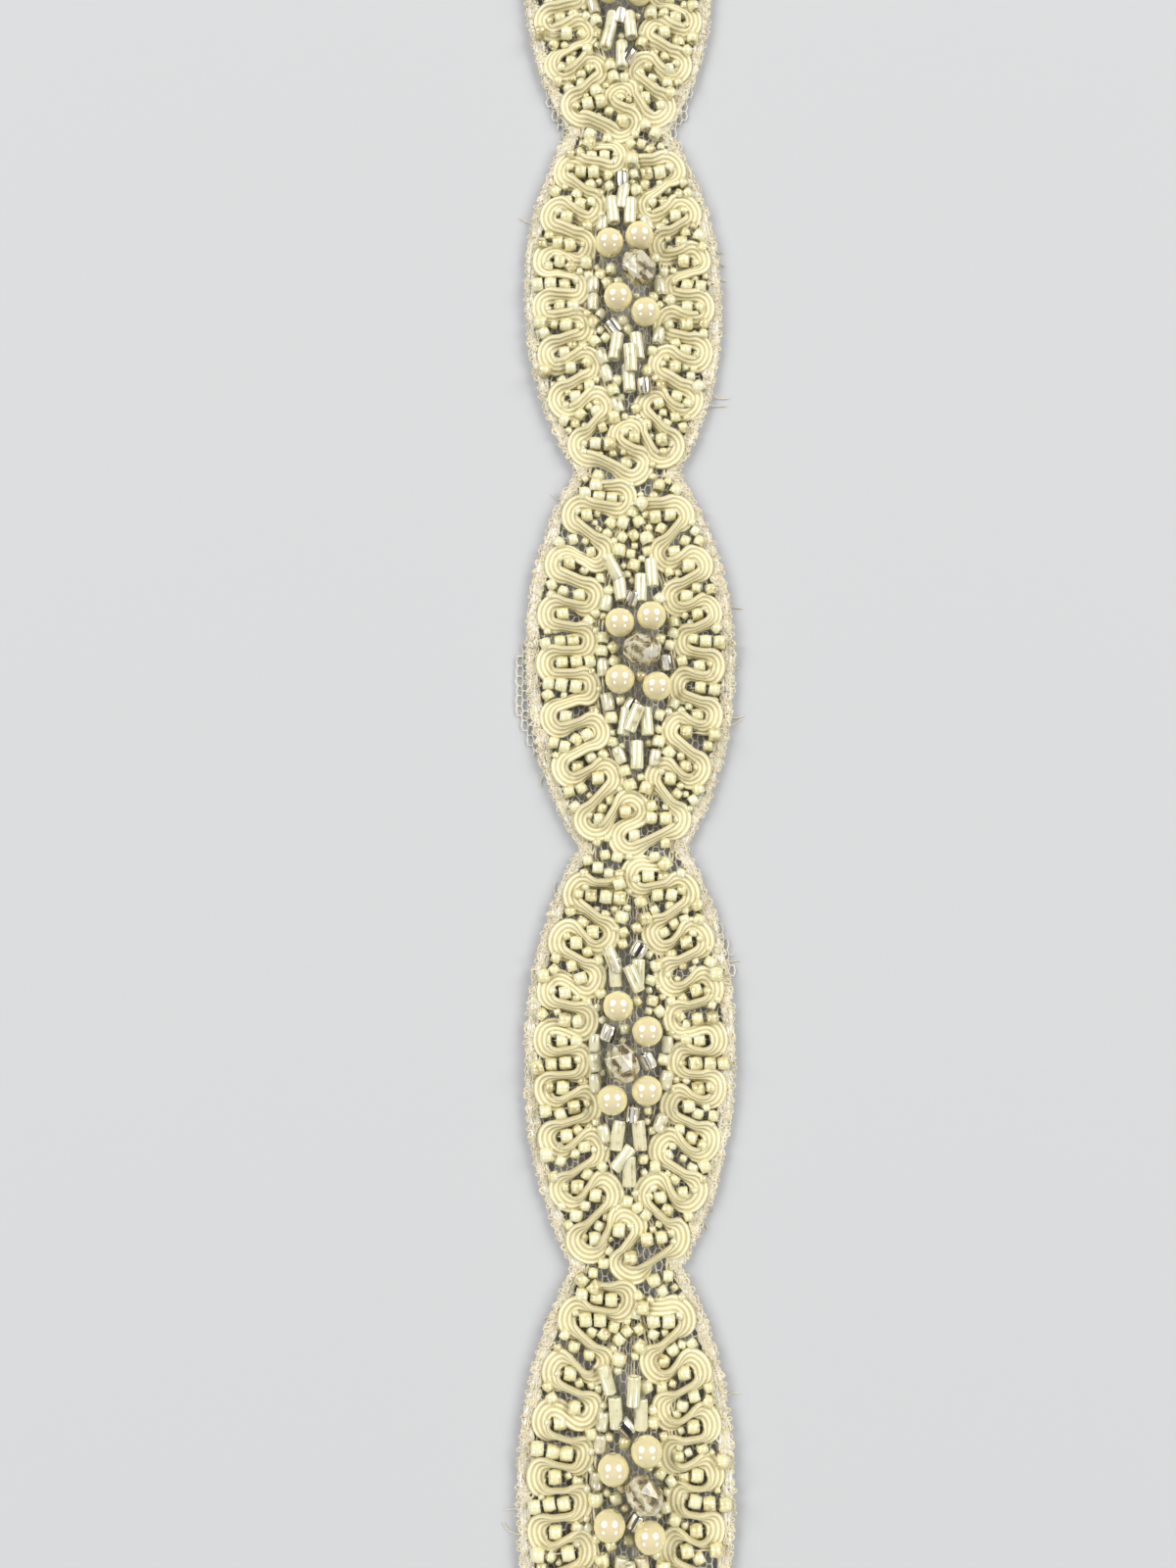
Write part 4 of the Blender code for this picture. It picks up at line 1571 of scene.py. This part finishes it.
def buildStage():
    shape = bmesh.new()
    bmesh.ops.create_grid(shape, x_segments=1, y_segments=1, size=stage["floorReach"])
    floor = addObject("floor", meshFrom(shape, "floor"))
    look = LookGraph("floor", Roughness=0.9, Base_Color=(*stage["floorColour"], 1.0))
    floor.data.materials.append(look.material)


def addLight(name, power, size, place):
    light = bpy.data.lights.new(name, "AREA")
    light.shape = "DISK"
    light.energy = power
    light.size = size
    light.color = stage["lightColour"]
    lamp = addObject(name, light)
    lamp.location = place
    lamp.rotation_euler = (-Vector(place)).to_track_quat("-Z", "Y").to_euler()


def buildLights():
    for name in ("key", "fill"):
        sort = stage[name]
        x, y, z = sort["place"]
        addLight(f"{name}Left", sort["power"], sort["size"], (-x, y, z))
        addLight(f"{name}Right", sort["power"], sort["size"], (x, y, z))
    world = bpy.data.worlds.new("studio")
    world.use_nodes = True
    background = world.node_tree.nodes["Background"].inputs
    background["Color"].default_value = (*stage["roomColour"], 1.0)
    background["Strength"].default_value = stage["roomLight"]
    bpy.context.scene.world = world


def buildCamera():
    data = bpy.data.cameras.new("camera")
    data.lens = stage["lens"]
    data.clip_start = 0.01
    camera = addObject("camera", data)
    tilt = stage["cameraTilt"]
    back = Vector((0.0, -math.sin(tilt), math.cos(tilt)))
    camera.location = Vector(stage["cameraTarget"]) + back * stage["cameraDistance"]
    camera.rotation_euler = (tilt, 0.0, 0.0)
    bpy.context.scene.camera = camera
    bpy.context.scene.view_settings.view_transform = "Standard"


print("camera, lights and floor")
buildCamera()
buildStage()
buildLights()

print("braids")
routes = buildBraids()
edgings = [edgingLine(side, inset) for side in (-1, 1) for inset in stitching["edgingInsets"]]
inners = [innerLine(side, index) for index in range(len(medallions)) for side in (-1, 1)]

print("net and stitches")
buildNet(routes, edgings, inners)
threadLook = buildStitches(edgings, inners)
buildLooseThreads(threadLook)
buildFuzz(threadLook)

print("beads")
blockers = buildPearls() + buildGlass() + buildBugles() + buildSilver()
buildFieldThreads(threadLook, buildSeeds(routes, blockers))
